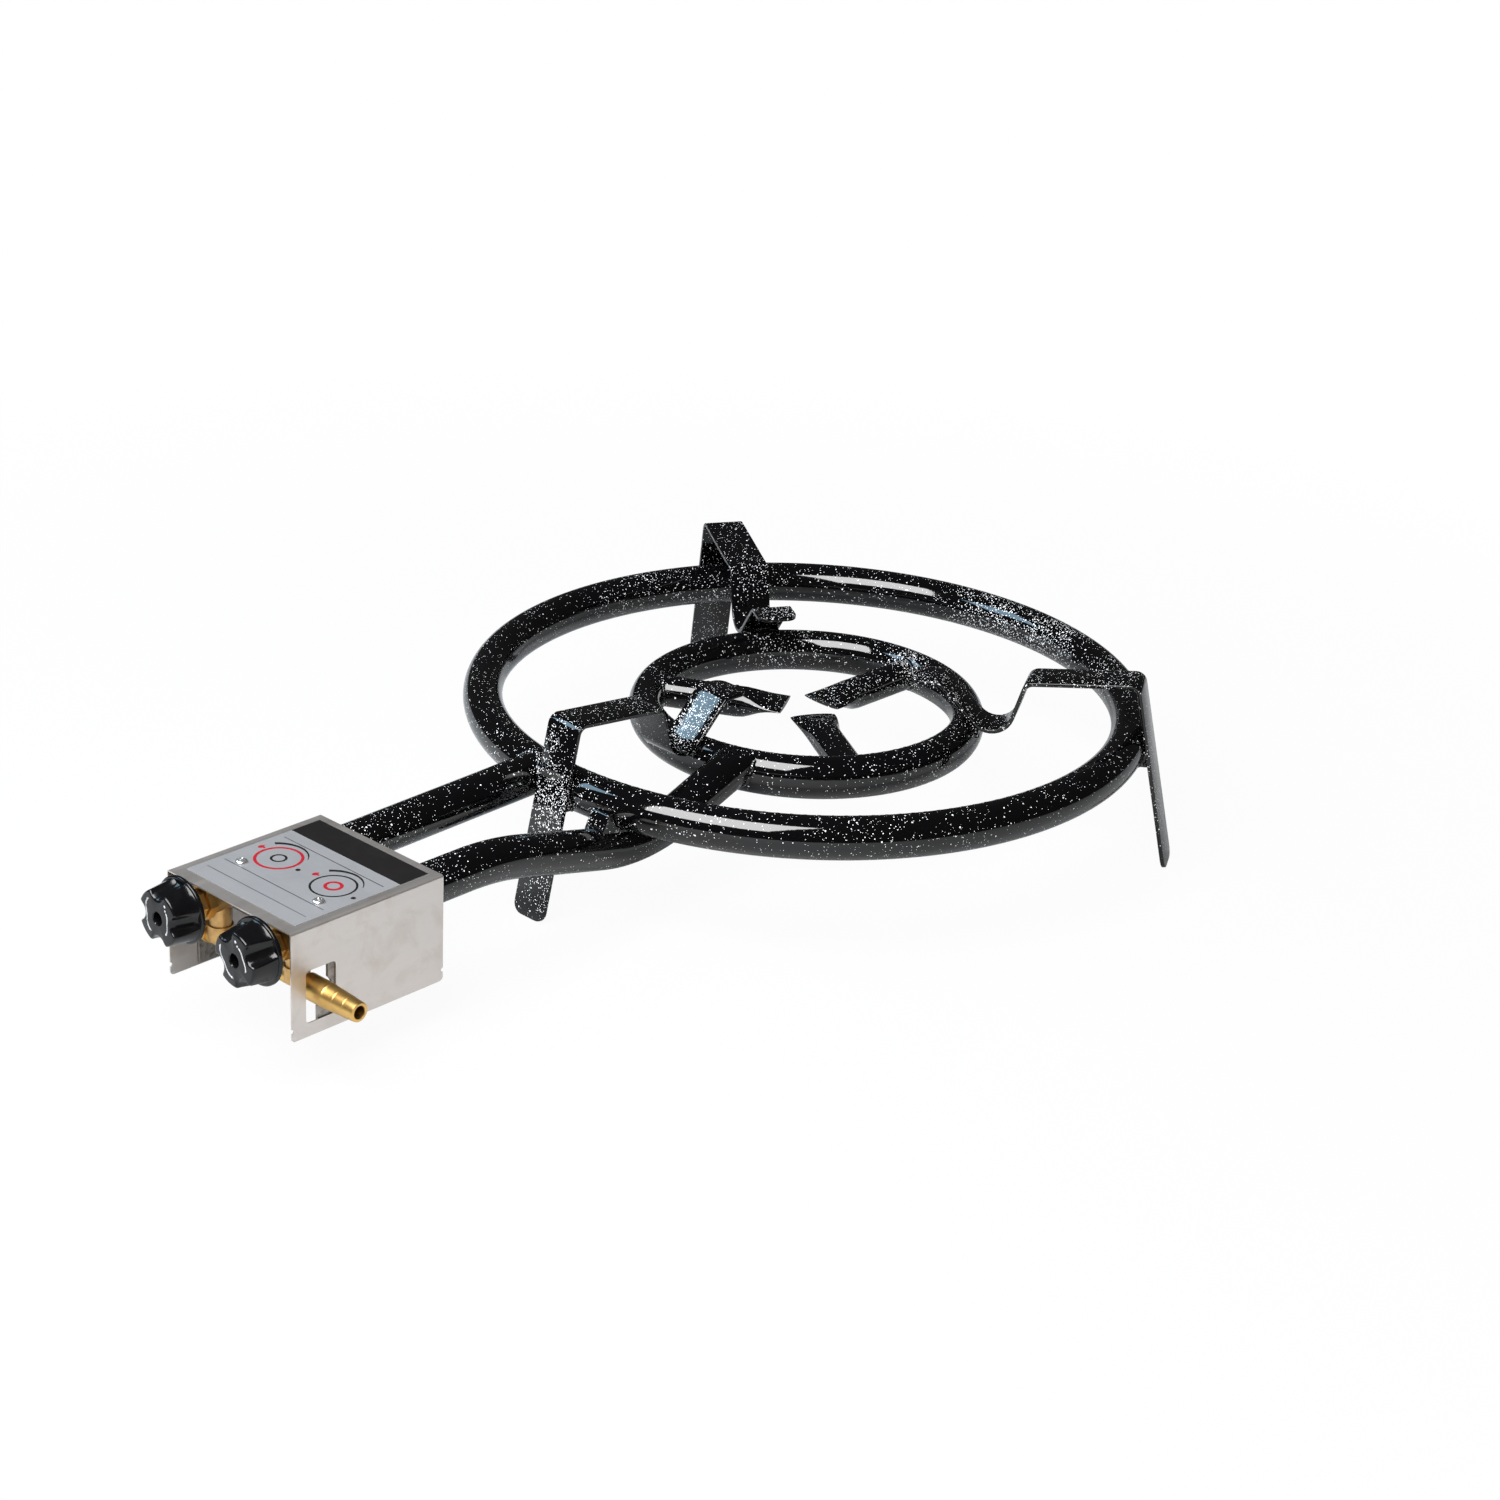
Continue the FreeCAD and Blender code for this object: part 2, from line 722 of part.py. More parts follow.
def make_cover_screws():
    """Two pan head screws through the label, the cover and the bracket's lip."""
    screws = []
    for x in (tap_left_x, tap_right_x):
        seat = Vector(x, knob_face_y + screw_setback, cover_top + label_thickness)
        screws.append(turned([
            (-screw_length, 0),
            (-screw_length, screw_diameter / 2),
            (0, screw_diameter / 2),
            (0, screw_head_diameter / 2),
            (screw_head_edge, screw_head_diameter / 2),
            (screw_head_height, screw_head_diameter / 2 - screw_head_edge),
            (screw_head_height, 0),
        ], seat, Z))
    return screws


def make_cover_nuts():
    """Two nuts under the bracket's lip."""
    nuts = []
    for x in (tap_left_x, tap_right_x):
        seat = Vector(x, knob_face_y + screw_setback, lip_top - bracket_sheet - nut_thickness)
        nut = hexagon(nut_flats, nut_thickness, seat, Z)
        nuts.append(nut.cut(cylinder(screw_diameter / 2, nut_thickness, seat, Z)))
    return nuts


def make_tap_body(x):
    """Brass tap body: barrel, riser down to the manifold, outlet through the bracket and two ears."""
    front = bonnet_start + bonnet_length
    outlet_end = bracket_setback + bracket_sheet + outlet_overrun
    barrel = cylinder(barrel_diameter / 2, barrel_end - front, along_tap(x, front), Y)
    outlet = cylinder(outlet_diameter / 2, outlet_end - barrel_end, along_tap(x, barrel_end), Y)
    low = Vector(x, manifold_y, manifold_height)
    riser = cylinder(riser_diameter / 2, tap_height - manifold_height, low, Z)
    collar_rise = manifold_diameter / 2 + riser_collar_height
    collar = cylinder(riser_collar_diameter / 2, collar_rise, low, Z)
    ear_y = knob_face_y + bracket_setback - ear_thickness
    ears = block(
        x - ear_width / 2, x + ear_width / 2, ear_y, ear_y + ear_thickness,
        tap_height - ear_height / 2, tap_height + ear_height / 2)
    body = barrel.fuse([outlet, riser, collar, ears])
    chamber = plug_length + 2 * end_gap
    cuts = [
        cylinder(manifold_diameter / 2, cover_width, low - X * (cover_width / 2), X),
        cylinder(plug_diameter / 2 + running_fit, chamber, along_tap(x, front), Y),
        cylinder(outlet_bore / 2, outlet_end, along_tap(x, front), Y),
        cylinder(riser_bore / 2, tap_height - manifold_height, low, Z),
    ]
    for spot in screw_spots(x):
        cuts.append(cylinder(ear_screw_diameter / 2, ear_thickness, spot, Y))
    return body.cut(cuts)


def spring_floor():
    """Setback of the bonnet wall that the return spring pushes on."""
    return gland_start + gland_wall + end_gap + stop_length + push_travel + spring_length + end_gap


def spring_room():
    """Radius of the bore round the return spring."""
    return spindle_diameter / 2 + spring_wall + spring_slack


def make_tap_bonnet(x):
    """Hexagonal bonnet that closes the tap body and guides the spindle."""
    body = hexagon(bonnet_flats, bonnet_length, along_tap(x, bonnet_start), Y)
    neck = cylinder(neck_diameter / 2, bonnet_start - neck_start, along_tap(x, neck_start), Y)
    bore = cylinder(spring_room(), spring_floor() - neck_start, along_tap(x, neck_start), Y)
    guide = cylinder(spindle_diameter / 2 + running_fit, bonnet_start + bonnet_length, tap_base(x), Y)
    return body.fuse(neck).cut([bore, guide])


def make_gland_nut(x):
    """Hexagonal gland nut screwed over the neck of the bonnet."""
    nut = hexagon(gland_flats, gland_length, along_tap(x, gland_start), Y)
    boss_length = gland_start - gland_boss_start
    boss = cylinder(gland_boss_diameter / 2, boss_length, along_tap(x, gland_boss_start), Y)
    cavity = cylinder(neck_diameter / 2, gland_length, along_tap(x, gland_start + gland_wall), Y)
    guide = cylinder(spindle_diameter / 2 + running_fit, gland_start + gland_wall, tap_base(x), Y)
    return nut.fuse(boss).cut([cavity, guide])


def make_tap_plug(x):
    """Turning plug with a slot for the spindle, a gas port and a tapering feed groove."""
    front = bonnet_start + bonnet_length + end_gap
    plug = cylinder(plug_diameter / 2, plug_length, along_tap(x, front), Y)
    slot_depth = spindle_end + tongue_length + push_travel + end_gap - front
    slot = tongue_block(x, front, slot_depth, running_fit)
    centre = along_tap(x, manifold_setback)
    port = cylinder(plug_port / 2, plug_diameter, centre, Z)
    bore = cylinder(plug_port / 2, plug_length, centre, Y)
    ring = pipe(
        plug_diameter, plug_diameter / 2 - plug_groove_depth, plug_groove_width,
        centre - Y * (plug_groove_width / 2), Y)
    wedge = Part.makeCylinder(
        2 * plug_diameter, plug_groove_width, centre - Y * (plug_groove_width / 2), Y, plug_groove_sweep)
    return plug.cut([slot, port, bore, ring.common(wedge)])


def tongue_block(x, setback, length, slack):
    """Flat driving end of the spindle, or the slot that takes it."""
    start = along_tap(x, setback)
    half_width = tongue_width / 2 + slack
    half_thickness = tongue_thickness / 2 + slack
    return block(
        start.x - half_width, start.x + half_width, start.y, start.y + length,
        start.z - half_thickness, start.z + half_thickness)


def seal_ring_radius():
    """Radius of the seal's centre line, so that it just clears the gland bore."""
    return spindle_diameter / 2 + running_fit - seal_gap - seal_section / 2


def make_spindle(x):
    """Spindle with a stop collar, a seal groove and a flat driving tongue."""
    stop = gland_start + gland_wall + end_gap
    bar = cylinder(spindle_diameter / 2, spindle_end - spindle_start, along_tap(x, spindle_start), Y)
    collar = cylinder(stop_diameter / 2, stop_length, along_tap(x, stop), Y)
    tongue = tongue_block(x, spindle_end, tongue_length, 0)
    groove_width = seal_section + 2 * seal_groove_slack
    floor = seal_ring_radius() - seal_section / 2
    groove = pipe(spindle_diameter, floor, groove_width, along_tap(x, seal_setback - groove_width / 2), Y)
    return bar.fuse([collar, tongue]).cut(groove)


def make_spindle_seal(x):
    """Round rubber seal in the groove of the spindle."""
    return Part.makeTorus(seal_ring_radius(), seal_section / 2, along_tap(x, seal_setback), Y)


def make_return_spring(x):
    """Return spring as a plain sleeve, at the length it has when the knob is pushed in."""
    start = gland_start + gland_wall + end_gap + stop_length
    inner = spindle_diameter / 2
    return pipe(inner + spring_wall, inner, spring_length, along_tap(x, start), Y)


def make_jet(x):
    """Brass jet screwed onto the outlet, with a fine bore."""
    start = along_tap(x, bracket_setback + bracket_sheet + outlet_overrun)
    head = hexagon(jet_flats, jet_hex_length, start, Y)
    tip = cylinder(jet_tip_diameter / 2, jet_tip_length, start + Y * jet_hex_length, Y)
    feed = cylinder(outlet_bore / 2, jet_hex_length - jet_tip_diameter / 2, start, Y)
    return head.fuse(tip).cut([cylinder(jet_bore / 2, jet_hex_length + jet_tip_length, start, Y), feed])


def make_ear_screws():
    """Four screws that hold the taps to the bracket."""
    screws = []
    for x in (tap_left_x, tap_right_x):
        for spot in screw_spots(x):
            shank = cylinder(ear_screw_diameter / 2, ear_thickness + bracket_sheet, spot, Y)
            head = cylinder(ear_screw_head_diameter / 2, ear_screw_head_height, spot, -Y)
            screws.append(shank.fuse(head))
    return screws


def make_manifold():
    """Brass tube that feeds both taps, bored under each riser."""
    start = Vector(manifold_left, manifold_y, manifold_height)
    tube = pipe(manifold_diameter / 2, manifold_bore / 2, manifold_right - manifold_left, start, X)
    feeds = []
    for x in (tap_left_x, tap_right_x):
        feeds.append(cylinder(riser_bore / 2, manifold_diameter, Vector(x, manifold_y, manifold_height), Z))
    return tube.cut(feeds)


def make_manifold_cap():
    """Cap on the closed end of the manifold."""
    base = Vector(manifold_left + plug_cap_overlap, manifold_y, manifold_height)
    radius = plug_cap_diameter / 2
    cavity = plug_cap_overlap + washer_thickness
    return turned([
        (0, manifold_diameter / 2),
        (0, radius),
        (plug_cap_length - plug_cap_edge, radius),
        (plug_cap_length, radius - plug_cap_edge),
        (plug_cap_length, 0),
        (cavity, 0),
        (cavity, manifold_diameter / 2),
    ], base, -X)


def make_seal_washers():
    """Sealing washers at both ends of the manifold."""
    outer = manifold_diameter / 2
    left = Vector(manifold_left - washer_thickness, manifold_y, manifold_height)
    right = Vector(manifold_right, manifold_y, manifold_height)
    return [pipe(outer, washer_bore / 2, washer_thickness, start, X) for start in (left, right)]


def make_hose_nozzle():
    """Brass hose nozzle with a smooth collar, two barbs and a plain tip."""
    base = Vector(manifold_right - nozzle_overlap, manifold_y, manifold_height)
    collar = nozzle_collar_diameter / 2
    bore = nozzle_bore / 2
    seat = nozzle_overlap + washer_thickness
    profile = [
        (seat, bore),
        (seat, manifold_diameter / 2),
        (0, manifold_diameter / 2),
        (0, collar),
        (nozzle_collar_length, collar),
    ]
    reach = nozzle_collar_length
    for k in range(barb_count):
        top = barb_diameter / 2 - k * barb_step
        profile.append((reach, top))
        reach += barb_length
        profile.append((reach, top - barb_drop / 2))
    land = nozzle_land_diameter / 2
    profile.append((reach + nozzle_taper_length, land))
    end = reach + nozzle_taper_length + nozzle_land_length
    profile.append((end, land))
    profile.append((end, bore))
    return turned(profile, base, X)


def knob_flutes(x, turn, length):
    """Cutters for the flutes of a knob, which grow shallower towards its rim."""
    climb = Vector(0, length, knob_flute_back - knob_flute_front).normalize()
    foot = tap_base(x) + Z * (knob_flute_front + knob_flute_radius)
    flute = cylinder(knob_flute_radius, 2 * knob_depth, foot - climb * overrun, climb)
    flute = flute.common(cylinder(2 * knob_rear_radius, length + overrun, along_tap(x, -overrun), Y))
    cuts = []
    for k in range(knob_lobes):
        cut = flute.copy()
        cut.rotate(tap_base(x), -Y, turn + 360 * k / knob_lobes)
        cuts.append(cut)
    return cuts


def make_knob(x, turn):
    """Fluted knob with a rim, a hole through its face and a hub at its back."""
    rim = knob_depth - knob_rim_length
    grip = turned([
        (0, 0),
        (0, knob_front_radius - knob_front_round),
        (knob_front_round, knob_front_radius),
        (rim, knob_skirt_radius),
        (rim, 0),
    ], tap_base(x), Y)
    flange = turned([
        (rim, 0),
        (rim, knob_rear_radius - knob_rim_round),
        (rim + knob_rim_round, knob_rear_radius),
        (knob_depth, knob_rear_radius),
        (knob_depth, 0),
    ], tap_base(x), Y)
    cavity_start = knob_depth - knob_cavity_depth
    hub_end = spindle_start + bush_length
    cuts = [
        pipe(knob_cavity_radius, knob_hub_radius, knob_cavity_depth, along_tap(x, cavity_start), Y),
        cylinder(knob_cavity_radius, knob_depth, along_tap(x, hub_end), Y),
        cylinder(knob_hole_diameter / 2, knob_depth, tap_base(x), Y),
        cylinder(bush_diameter / 2, bush_length, along_tap(x, spindle_start), Y),
    ]
    return grip.cut(knob_flutes(x, turn, rim)).fuse(flange).cut(cuts)


def make_knob_bush(x):
    """Metal bush in the hub of the knob, gripping the spindle."""
    return pipe(bush_diameter / 2, spindle_diameter / 2, bush_length, along_tap(x, spindle_start), Y)


save(make_outer_ring(), "outer_ring")
save(make_inner_ring(), "inner_ring")
for number, angle in enumerate(stub_angles(), 1):
    save(make_burner_stub(angle), "burner_stub_" + str(number))
for number, angle in enumerate(leg_angles(), 1):
    save(about_rings(leg_bar(), angle), "leg_" + str(number))
save(make_leg_welds(), "leg_welds")
save(make_outer_supply_tube(), "outer_supply_tube")
save(make_inner_supply_tube(), "inner_supply_tube")
save(make_crossing_weld(), "crossing_weld")
save(make_bracket(), "bracket")
save(make_cover(), "cover")
save(make_label(), "label_plate")
save(make_cover_screws(), "cover_screws")
save(make_cover_nuts(), "cover_nuts")
save(make_ear_screws(), "ear_screws")
save(make_manifold(), "manifold")
save(make_manifold_cap(), "manifold_cap")
save(make_seal_washers(), "seal_washers")
save(make_hose_nozzle(), "hose_nozzle")
for side, tap_x, turn in (("left", tap_left_x, left_knob_turn), ("right", tap_right_x, right_knob_turn)):
    save(make_tap_body(tap_x), side + "_tap_body")
    save(make_tap_bonnet(tap_x), side + "_tap_bonnet")
    save(make_gland_nut(tap_x), side + "_gland_nut")
    save(make_tap_plug(tap_x), side + "_tap_plug")
    save(make_spindle(tap_x), side + "_spindle")
    save(make_spindle_seal(tap_x), side + "_spindle_seal")
    save(make_return_spring(tap_x), side + "_return_spring")
    save(make_jet(tap_x), side + "_jet")
    save(make_knob(tap_x, turn), side + "_knob")
    save(make_knob_bush(tap_x), side + "_knob_bush")
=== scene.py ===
import bpy
import bmesh
from math import sin, cos, tan, atan2, asin, exp, log, sqrt, radians, pi
from mathutils import Vector, Matrix


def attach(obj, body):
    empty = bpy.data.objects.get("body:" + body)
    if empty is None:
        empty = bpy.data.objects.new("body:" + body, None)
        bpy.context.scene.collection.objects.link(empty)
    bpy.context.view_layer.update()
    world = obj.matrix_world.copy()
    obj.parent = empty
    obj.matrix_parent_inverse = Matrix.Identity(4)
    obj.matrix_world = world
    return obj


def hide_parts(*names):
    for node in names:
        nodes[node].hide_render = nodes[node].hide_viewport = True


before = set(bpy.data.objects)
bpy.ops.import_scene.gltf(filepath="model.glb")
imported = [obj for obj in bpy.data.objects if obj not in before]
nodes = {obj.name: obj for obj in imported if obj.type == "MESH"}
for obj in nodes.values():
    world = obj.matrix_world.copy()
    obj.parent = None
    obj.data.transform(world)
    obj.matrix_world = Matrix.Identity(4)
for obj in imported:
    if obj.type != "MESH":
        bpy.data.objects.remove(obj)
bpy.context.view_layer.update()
scene = bpy.context.scene
scene.view_settings.view_transform = "Standard"

# The camera stands to the front right of the burner and looks down on it at about 24 degrees,
# with the long lens and the slight tilt of a catalogue picture.
eye = Vector((1.4695, -1.5279, 1.0372))
look_at = Vector((-0.05077, 0.15509, 0.03085))
tilt = 0.049
back = (eye - look_at).normalized()
level = Vector((0, 0, 1)).cross(back).normalized()
upward = back.cross(level)
right = level * cos(tilt) + upward * sin(tilt)
top = upward * cos(tilt) - level * sin(tilt)
camera_data = bpy.data.cameras.new("camera")
camera_data.lens = 79.92
camera_data.sensor_width = 36
camera_data.clip_end = 50
camera = bpy.data.objects.new("camera", camera_data)
camera.matrix_world = Matrix.Translation(eye) @ Matrix((right, top, back)).transposed().to_4x4()
scene.collection.objects.link(camera)
scene.camera = camera

# The burner stands on a round white table in a dark studio. A large soft box hangs in front of it, a small
# cool one at its left and a wide faint one above it; the gloss of the tubes repeats the first two and the
# sharp edge of the table.
table_radius, table_drop = 1.35, 0.0005
paper = bpy.data.materials.new("white_paper")
paper.use_nodes = True
tree = paper.node_tree
tree.nodes.clear()
out = tree.nodes.new("ShaderNodeOutputMaterial")
mix = tree.nodes.new("ShaderNodeMixShader")
matt = tree.nodes.new("ShaderNodeBsdfDiffuse")
matt.inputs["Color"].default_value = (0.5, 0.5, 0.5, 1)
glow = tree.nodes.new("ShaderNodeEmission")
glow.inputs["Color"].default_value = (1, 1, 1, 1)
glow.inputs["Strength"].default_value = 1.0
path = tree.nodes.new("ShaderNodeLightPath")
where = tree.nodes.new("ShaderNodeTexCoord")
away = tree.nodes.new("ShaderNodeVectorMath")
away.operation = "LENGTH"
tree.links.new(where.outputs["Object"], away.inputs[0])
fade = tree.nodes.new("ShaderNodeMapRange")
fade.inputs["From Min"].default_value = 0.5
fade.inputs["From Max"].default_value = 1.2
fade.inputs["To Min"].default_value = 0.95
tree.links.new(away.outputs["Value"], fade.inputs["Value"])
share = tree.nodes.new("ShaderNodeMath")
share.operation = "MULTIPLY"
tree.links.new(fade.outputs[0], share.inputs[1])
tree.links.new(path.outputs["Is Camera Ray"], share.inputs[0])
tree.links.new(share.outputs[0], mix.inputs["Fac"])
tree.links.new(matt.outputs[0], mix.inputs[1])
tree.links.new(glow.outputs[0], mix.inputs[2])
tree.links.new(mix.outputs[0], out.inputs["Surface"])

table_mesh = bmesh.new()
bmesh.ops.create_circle(
    table_mesh, segments=128, radius=table_radius, cap_ends=True,
    matrix=Matrix.Translation((0, 0, -table_drop)))
table_data = bpy.data.meshes.new("table")
table_mesh.to_mesh(table_data)
table_mesh.free()
table = bpy.data.objects.new("table", table_data)
table_data.materials.append(paper)
scene.collection.objects.link(table)

world = bpy.data.worlds.new("studio")
scene.world = world
world.use_nodes = True
tree = world.node_tree
tree.nodes.clear()
out = tree.nodes.new("ShaderNodeOutputWorld")
air = tree.nodes.new("ShaderNodeBackground")
air.inputs["Color"].default_value = (1, 1, 1, 1)
faint = 0.04
path = tree.nodes.new("ShaderNodeLightPath")
strength = tree.nodes.new("ShaderNodeMath")
strength.operation = "MULTIPLY_ADD"
strength.inputs[1].default_value = 1 - faint
strength.inputs[2].default_value = faint
tree.links.new(path.outputs["Is Camera Ray"], strength.inputs[0])
tree.links.new(strength.outputs[0], air.inputs["Strength"])
tree.links.new(air.outputs[0], out.inputs["Surface"])


def soft_lamp(name, place, aim, width, height, power, colour=(1, 1, 1)):
    data = bpy.data.lights.new(name, "AREA")
    data.shape = "RECTANGLE"
    data.size = width
    data.size_y = height
    data.energy = power
    data.color = colour
    lamp = bpy.data.objects.new(name, data)
    lamp.location = place
    lamp.rotation_mode = "QUATERNION"
    lamp.rotation_quaternion = (Vector(place) - Vector(aim)).to_track_quat("Z", "Y")
    scene.collection.objects.link(lamp)
    return lamp


soft_lamp("front_box", (0.25, -1.25, 1.79), (0, 0.1, 0.09), 1.5, 1.5, 96)
soft_lamp("left_box", (-1.25, -0.85, 1.42), (0, 0, 0.1), 0.95, 0.66, 13, (0.50, 0.78, 1.0))
ceiling = soft_lamp("ceiling", (0, 0, 3.0), (0, 0, 0), 3, 3, 24)
ceiling.visible_glossy = False


# The rings, legs and supply tubes are steel under black vitreous enamel, sprayed with white flecks
# before firing, so the flecks are irregular, crowd together in places and stay glossy.
# Layers of flecks: cells per metre, radius in cells and what chance adds to it, share of the density, offset.
fleck_layers = (
    (265, 0.10, 0.09, 1.2, 0), (410, 0.10, 0.10, 1.2, 0), (640, 0.12, 0.10, 1.2, 0),
    (520, 0.20, 0.14, 2.0, -0.9), (760, 0.20, 0.16, 2.0, -0.8))


def fleck_group():
    group = bpy.data.node_groups.new("enamel_flecks", "ShaderNodeTree")
    face = group.interface
    face.new_socket("Density", in_out="INPUT", socket_type="NodeSocketFloat")
    face.new_socket("Unevenness", in_out="INPUT", socket_type="NodeSocketFloat")
    face.new_socket("Flecks", in_out="OUTPUT", socket_type="NodeSocketFloat")
    face.new_socket("Ripple", in_out="OUTPUT", socket_type="NodeSocketFloat")
    add, link = group.nodes.new, group.links.new
    enter = add("NodeGroupInput")
    leave = add("NodeGroupOutput")
    place = add("ShaderNodeTexCoord")
    wander = add("ShaderNodeTexNoise")
    wander.inputs["Scale"].default_value = 1100
    wander.inputs["Detail"].default_value = 1
    link(place.outputs["Object"], wander.inputs["Vector"])
    spread = add("ShaderNodeVectorMath")
    spread.operation = "MULTIPLY_ADD"
    spread.inputs[1].default_value = (0.0003, 0.0003, 0.0003)
    link(wander.outputs["Color"], spread.inputs[0])
    link(place.outputs["Object"], spread.inputs[2])
    cloud = add("ShaderNodeTexNoise")
    cloud.inputs["Scale"].default_value = 17
    cloud.inputs["Detail"].default_value = 3
    link(place.outputs["Object"], cloud.inputs["Vector"])
    uneven = add("ShaderNodeMapRange")
    uneven.inputs["From Min"].default_value = 0.36
    uneven.inputs["From Max"].default_value = 0.66
    uneven.inputs["To Min"].default_value = -1
    uneven.inputs["To Max"].default_value = 1
    link(cloud.outputs["Fac"], uneven.inputs["Value"])
    level = add("ShaderNodeMath")
    level.operation = "MULTIPLY_ADD"
    link(uneven.outputs[0], level.inputs[0])
    link(enter.outputs["Unevenness"], level.inputs[1])
    link(enter.outputs["Density"], level.inputs[2])
    so_far = None
    for cells, least, growth, part, start in fleck_layers:
        spots = add("ShaderNodeTexVoronoi")
        spots.inputs["Scale"].default_value = cells
        link(spread.outputs[0], spots.inputs["Vector"])
        split = add("ShaderNodeSeparateColor")
        link(spots.outputs["Color"], split.inputs["Color"])
        chance = add("ShaderNodeMath")
        chance.operation = "MULTIPLY_ADD"
        chance.inputs[1].default_value = part
        chance.inputs[2].default_value = start
        link(level.outputs[0], chance.inputs[0])
        chosen = add("ShaderNodeMath")
        chosen.operation = "LESS_THAN"
        link(split.outputs["Red"], chosen.inputs[0])
        link(chance.outputs[0], chosen.inputs[1])
        size = add("ShaderNodeMath")
        size.operation = "MULTIPLY_ADD"
        size.inputs[1].default_value = growth
        size.inputs[2].default_value = least
        link(split.outputs["Green"], size.inputs[0])
        edge = add("ShaderNodeMath")
        edge.operation = "SUBTRACT"
        link(size.outputs[0], edge.inputs[0])
        link(spots.outputs["Distance"], edge.inputs[1])
        sharp = add("ShaderNodeMapRange")
        sharp.inputs["From Max"].default_value = 0.03
        link(edge.outputs[0], sharp.inputs["Value"])
        mask = add("ShaderNodeMath")
        mask.operation = "MULTIPLY"
        link(sharp.outputs[0], mask.inputs[0])
        link(chosen.outputs[0], mask.inputs[1])
        if so_far:
            most = add("ShaderNodeMath")
            most.operation = "MAXIMUM"
            link(so_far, most.inputs[0])
            link(mask.outputs[0], most.inputs[1])
            so_far = most.outputs[0]
        else:
            so_far = mask.outputs[0]
    link(so_far, leave.inputs["Flecks"])
    ripple = add("ShaderNodeTexNoise")
    ripple.inputs["Scale"].default_value = 240
    ripple.inputs["Detail"].default_value = 2
    link(place.outputs["Object"], ripple.inputs["Vector"])
    link(ripple.outputs["Fac"], leave.inputs["Ripple"])
    return group


flecks = fleck_group()
core_share = 0.3


def enamel(name, density, unevenness, crowds=()):
    material = bpy.data.materials.new(name)
    material.use_nodes = True
    tree = material.node_tree
    add, link = tree.nodes.new, tree.links.new
    shader = tree.nodes["Principled BSDF"]
    spray = add("ShaderNodeGroup")
    spray.node_tree = flecks
    spray.inputs["Density"].default_value = density
    spray.inputs["Unevenness"].default_value = unevenness
    where = add("ShaderNodeTexCoord")
    total = None
    for centre, radius, amount in crowds:
        away = add("ShaderNodeVectorMath")
        away.operation = "DISTANCE"
        away.inputs[1].default_value = centre
        link(where.outputs["Object"], away.inputs[0])
        near = add("ShaderNodeMapRange")
        near.interpolation_type = "SMOOTHSTEP"
        near.inputs["From Min"].default_value = radius
        near.inputs["From Max"].default_value = radius * core_share
        near.inputs["To Max"].default_value = amount
        link(away.outputs["Value"], near.inputs["Value"])
        sum_up = add("ShaderNodeMath")
        sum_up.inputs[0].default_value = density
        if total:
            link(total, sum_up.inputs[0])
        link(near.outputs[0], sum_up.inputs[1])
        total = sum_up.outputs[0]
    if total:
        link(total, spray.inputs["Density"])
    tone = add("ShaderNodeMix")
    tone.data_type = "RGBA"
    tone.inputs["A"].default_value = (0.0016, 0.0015, 0.0018, 1)
    tone.inputs["B"].default_value = (0.93, 0.94, 0.95, 1)
    link(spray.outputs["Flecks"], tone.inputs["Factor"])
    link(tone.outputs["Result"], shader.inputs["Base Color"])
    rough = add("ShaderNodeMapRange")
    rough.inputs["To Min"].default_value = 0.05
    rough.inputs["To Max"].default_value = 0.07
    link(spray.outputs["Flecks"], rough.inputs["Value"])
    link(rough.outputs[0], shader.inputs["Roughness"])
    bump = add("ShaderNodeBump")
    bump.inputs["Strength"].default_value = 0.2
    bump.inputs["Distance"].default_value = 0.00015
    link(spray.outputs["Ripple"], bump.inputs["Height"])
    link(bump.outputs[0], shader.inputs["Normal"])
    shader.inputs["Specular IOR Level"].default_value = 0.58
    return material


# Where flecks crowd on the rings, or are few: centre, radius, and what is added to the density.
ring_crowds = (
    ((0.010, 0.394, 0.088), 0.105, 0.34), ((-0.09, 0.235, 0.09), 0.07, 0.20),
    ((0.004, 0.272, 0.08), 0.03, 0.4), ((-0.20, 0.26, 0.088), 0.16, 0.08),
    ((0.225, 0.225, 0.088), 0.10, -0.22), ((0.15, -0.02, 0.088), 0.13, -0.08))
ring_enamel = enamel("ring_enamel", 0.33, 0.16, ring_crowds)


def finish_piece(mesh, name, material, body, *stands_for, smooth_to=40, slot="speckled_enamel"):
    data = bpy.data.meshes.new(name)
    mesh.normal_update()
    mesh.to_mesh(data)
    mesh.free()
    data.polygons.foreach_set("use_smooth", [True] * len(data.polygons))
    data.set_sharp_from_angle(angle=radians(smooth_to))
    data.materials.append(material)
    piece = bpy.data.objects.new(name, data)
    scene.collection.objects.link(piece)
    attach(piece, body)
    if stands_for:
        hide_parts(*stands_for)
    return piece


# Each ring is a steel tube bent into a circle, welded shut and drilled along the crown
# with two staggered rows of gas ports, whose rims the enamel rounds over.
ring_axis = Vector((0, 0.158, 0))


def oval_tube_ring(radius, half_width, half_height, height, steps):
    mesh = bmesh.new()
    bmesh.ops.create_circle(mesh, segments=56, radius=1)
    bmesh.ops.scale(mesh, vec=(half_width, half_height, 1), verts=mesh.verts)
    bmesh.ops.rotate(mesh, cent=(0, 0, 0), matrix=Matrix.Rotation(pi / 2, 3, "X"), verts=mesh.verts)
    bmesh.ops.translate(mesh, vec=ring_axis + Vector((radius, 0, height)), verts=mesh.verts)
    bmesh.ops.spin(
        mesh, geom=mesh.verts[:] + mesh.edges[:], cent=ring_axis, axis=(0, 0, 1),
        angle=2 * pi, steps=steps, use_merge=True)
    bmesh.ops.recalc_face_normals(mesh, faces=mesh.faces)
    return mesh


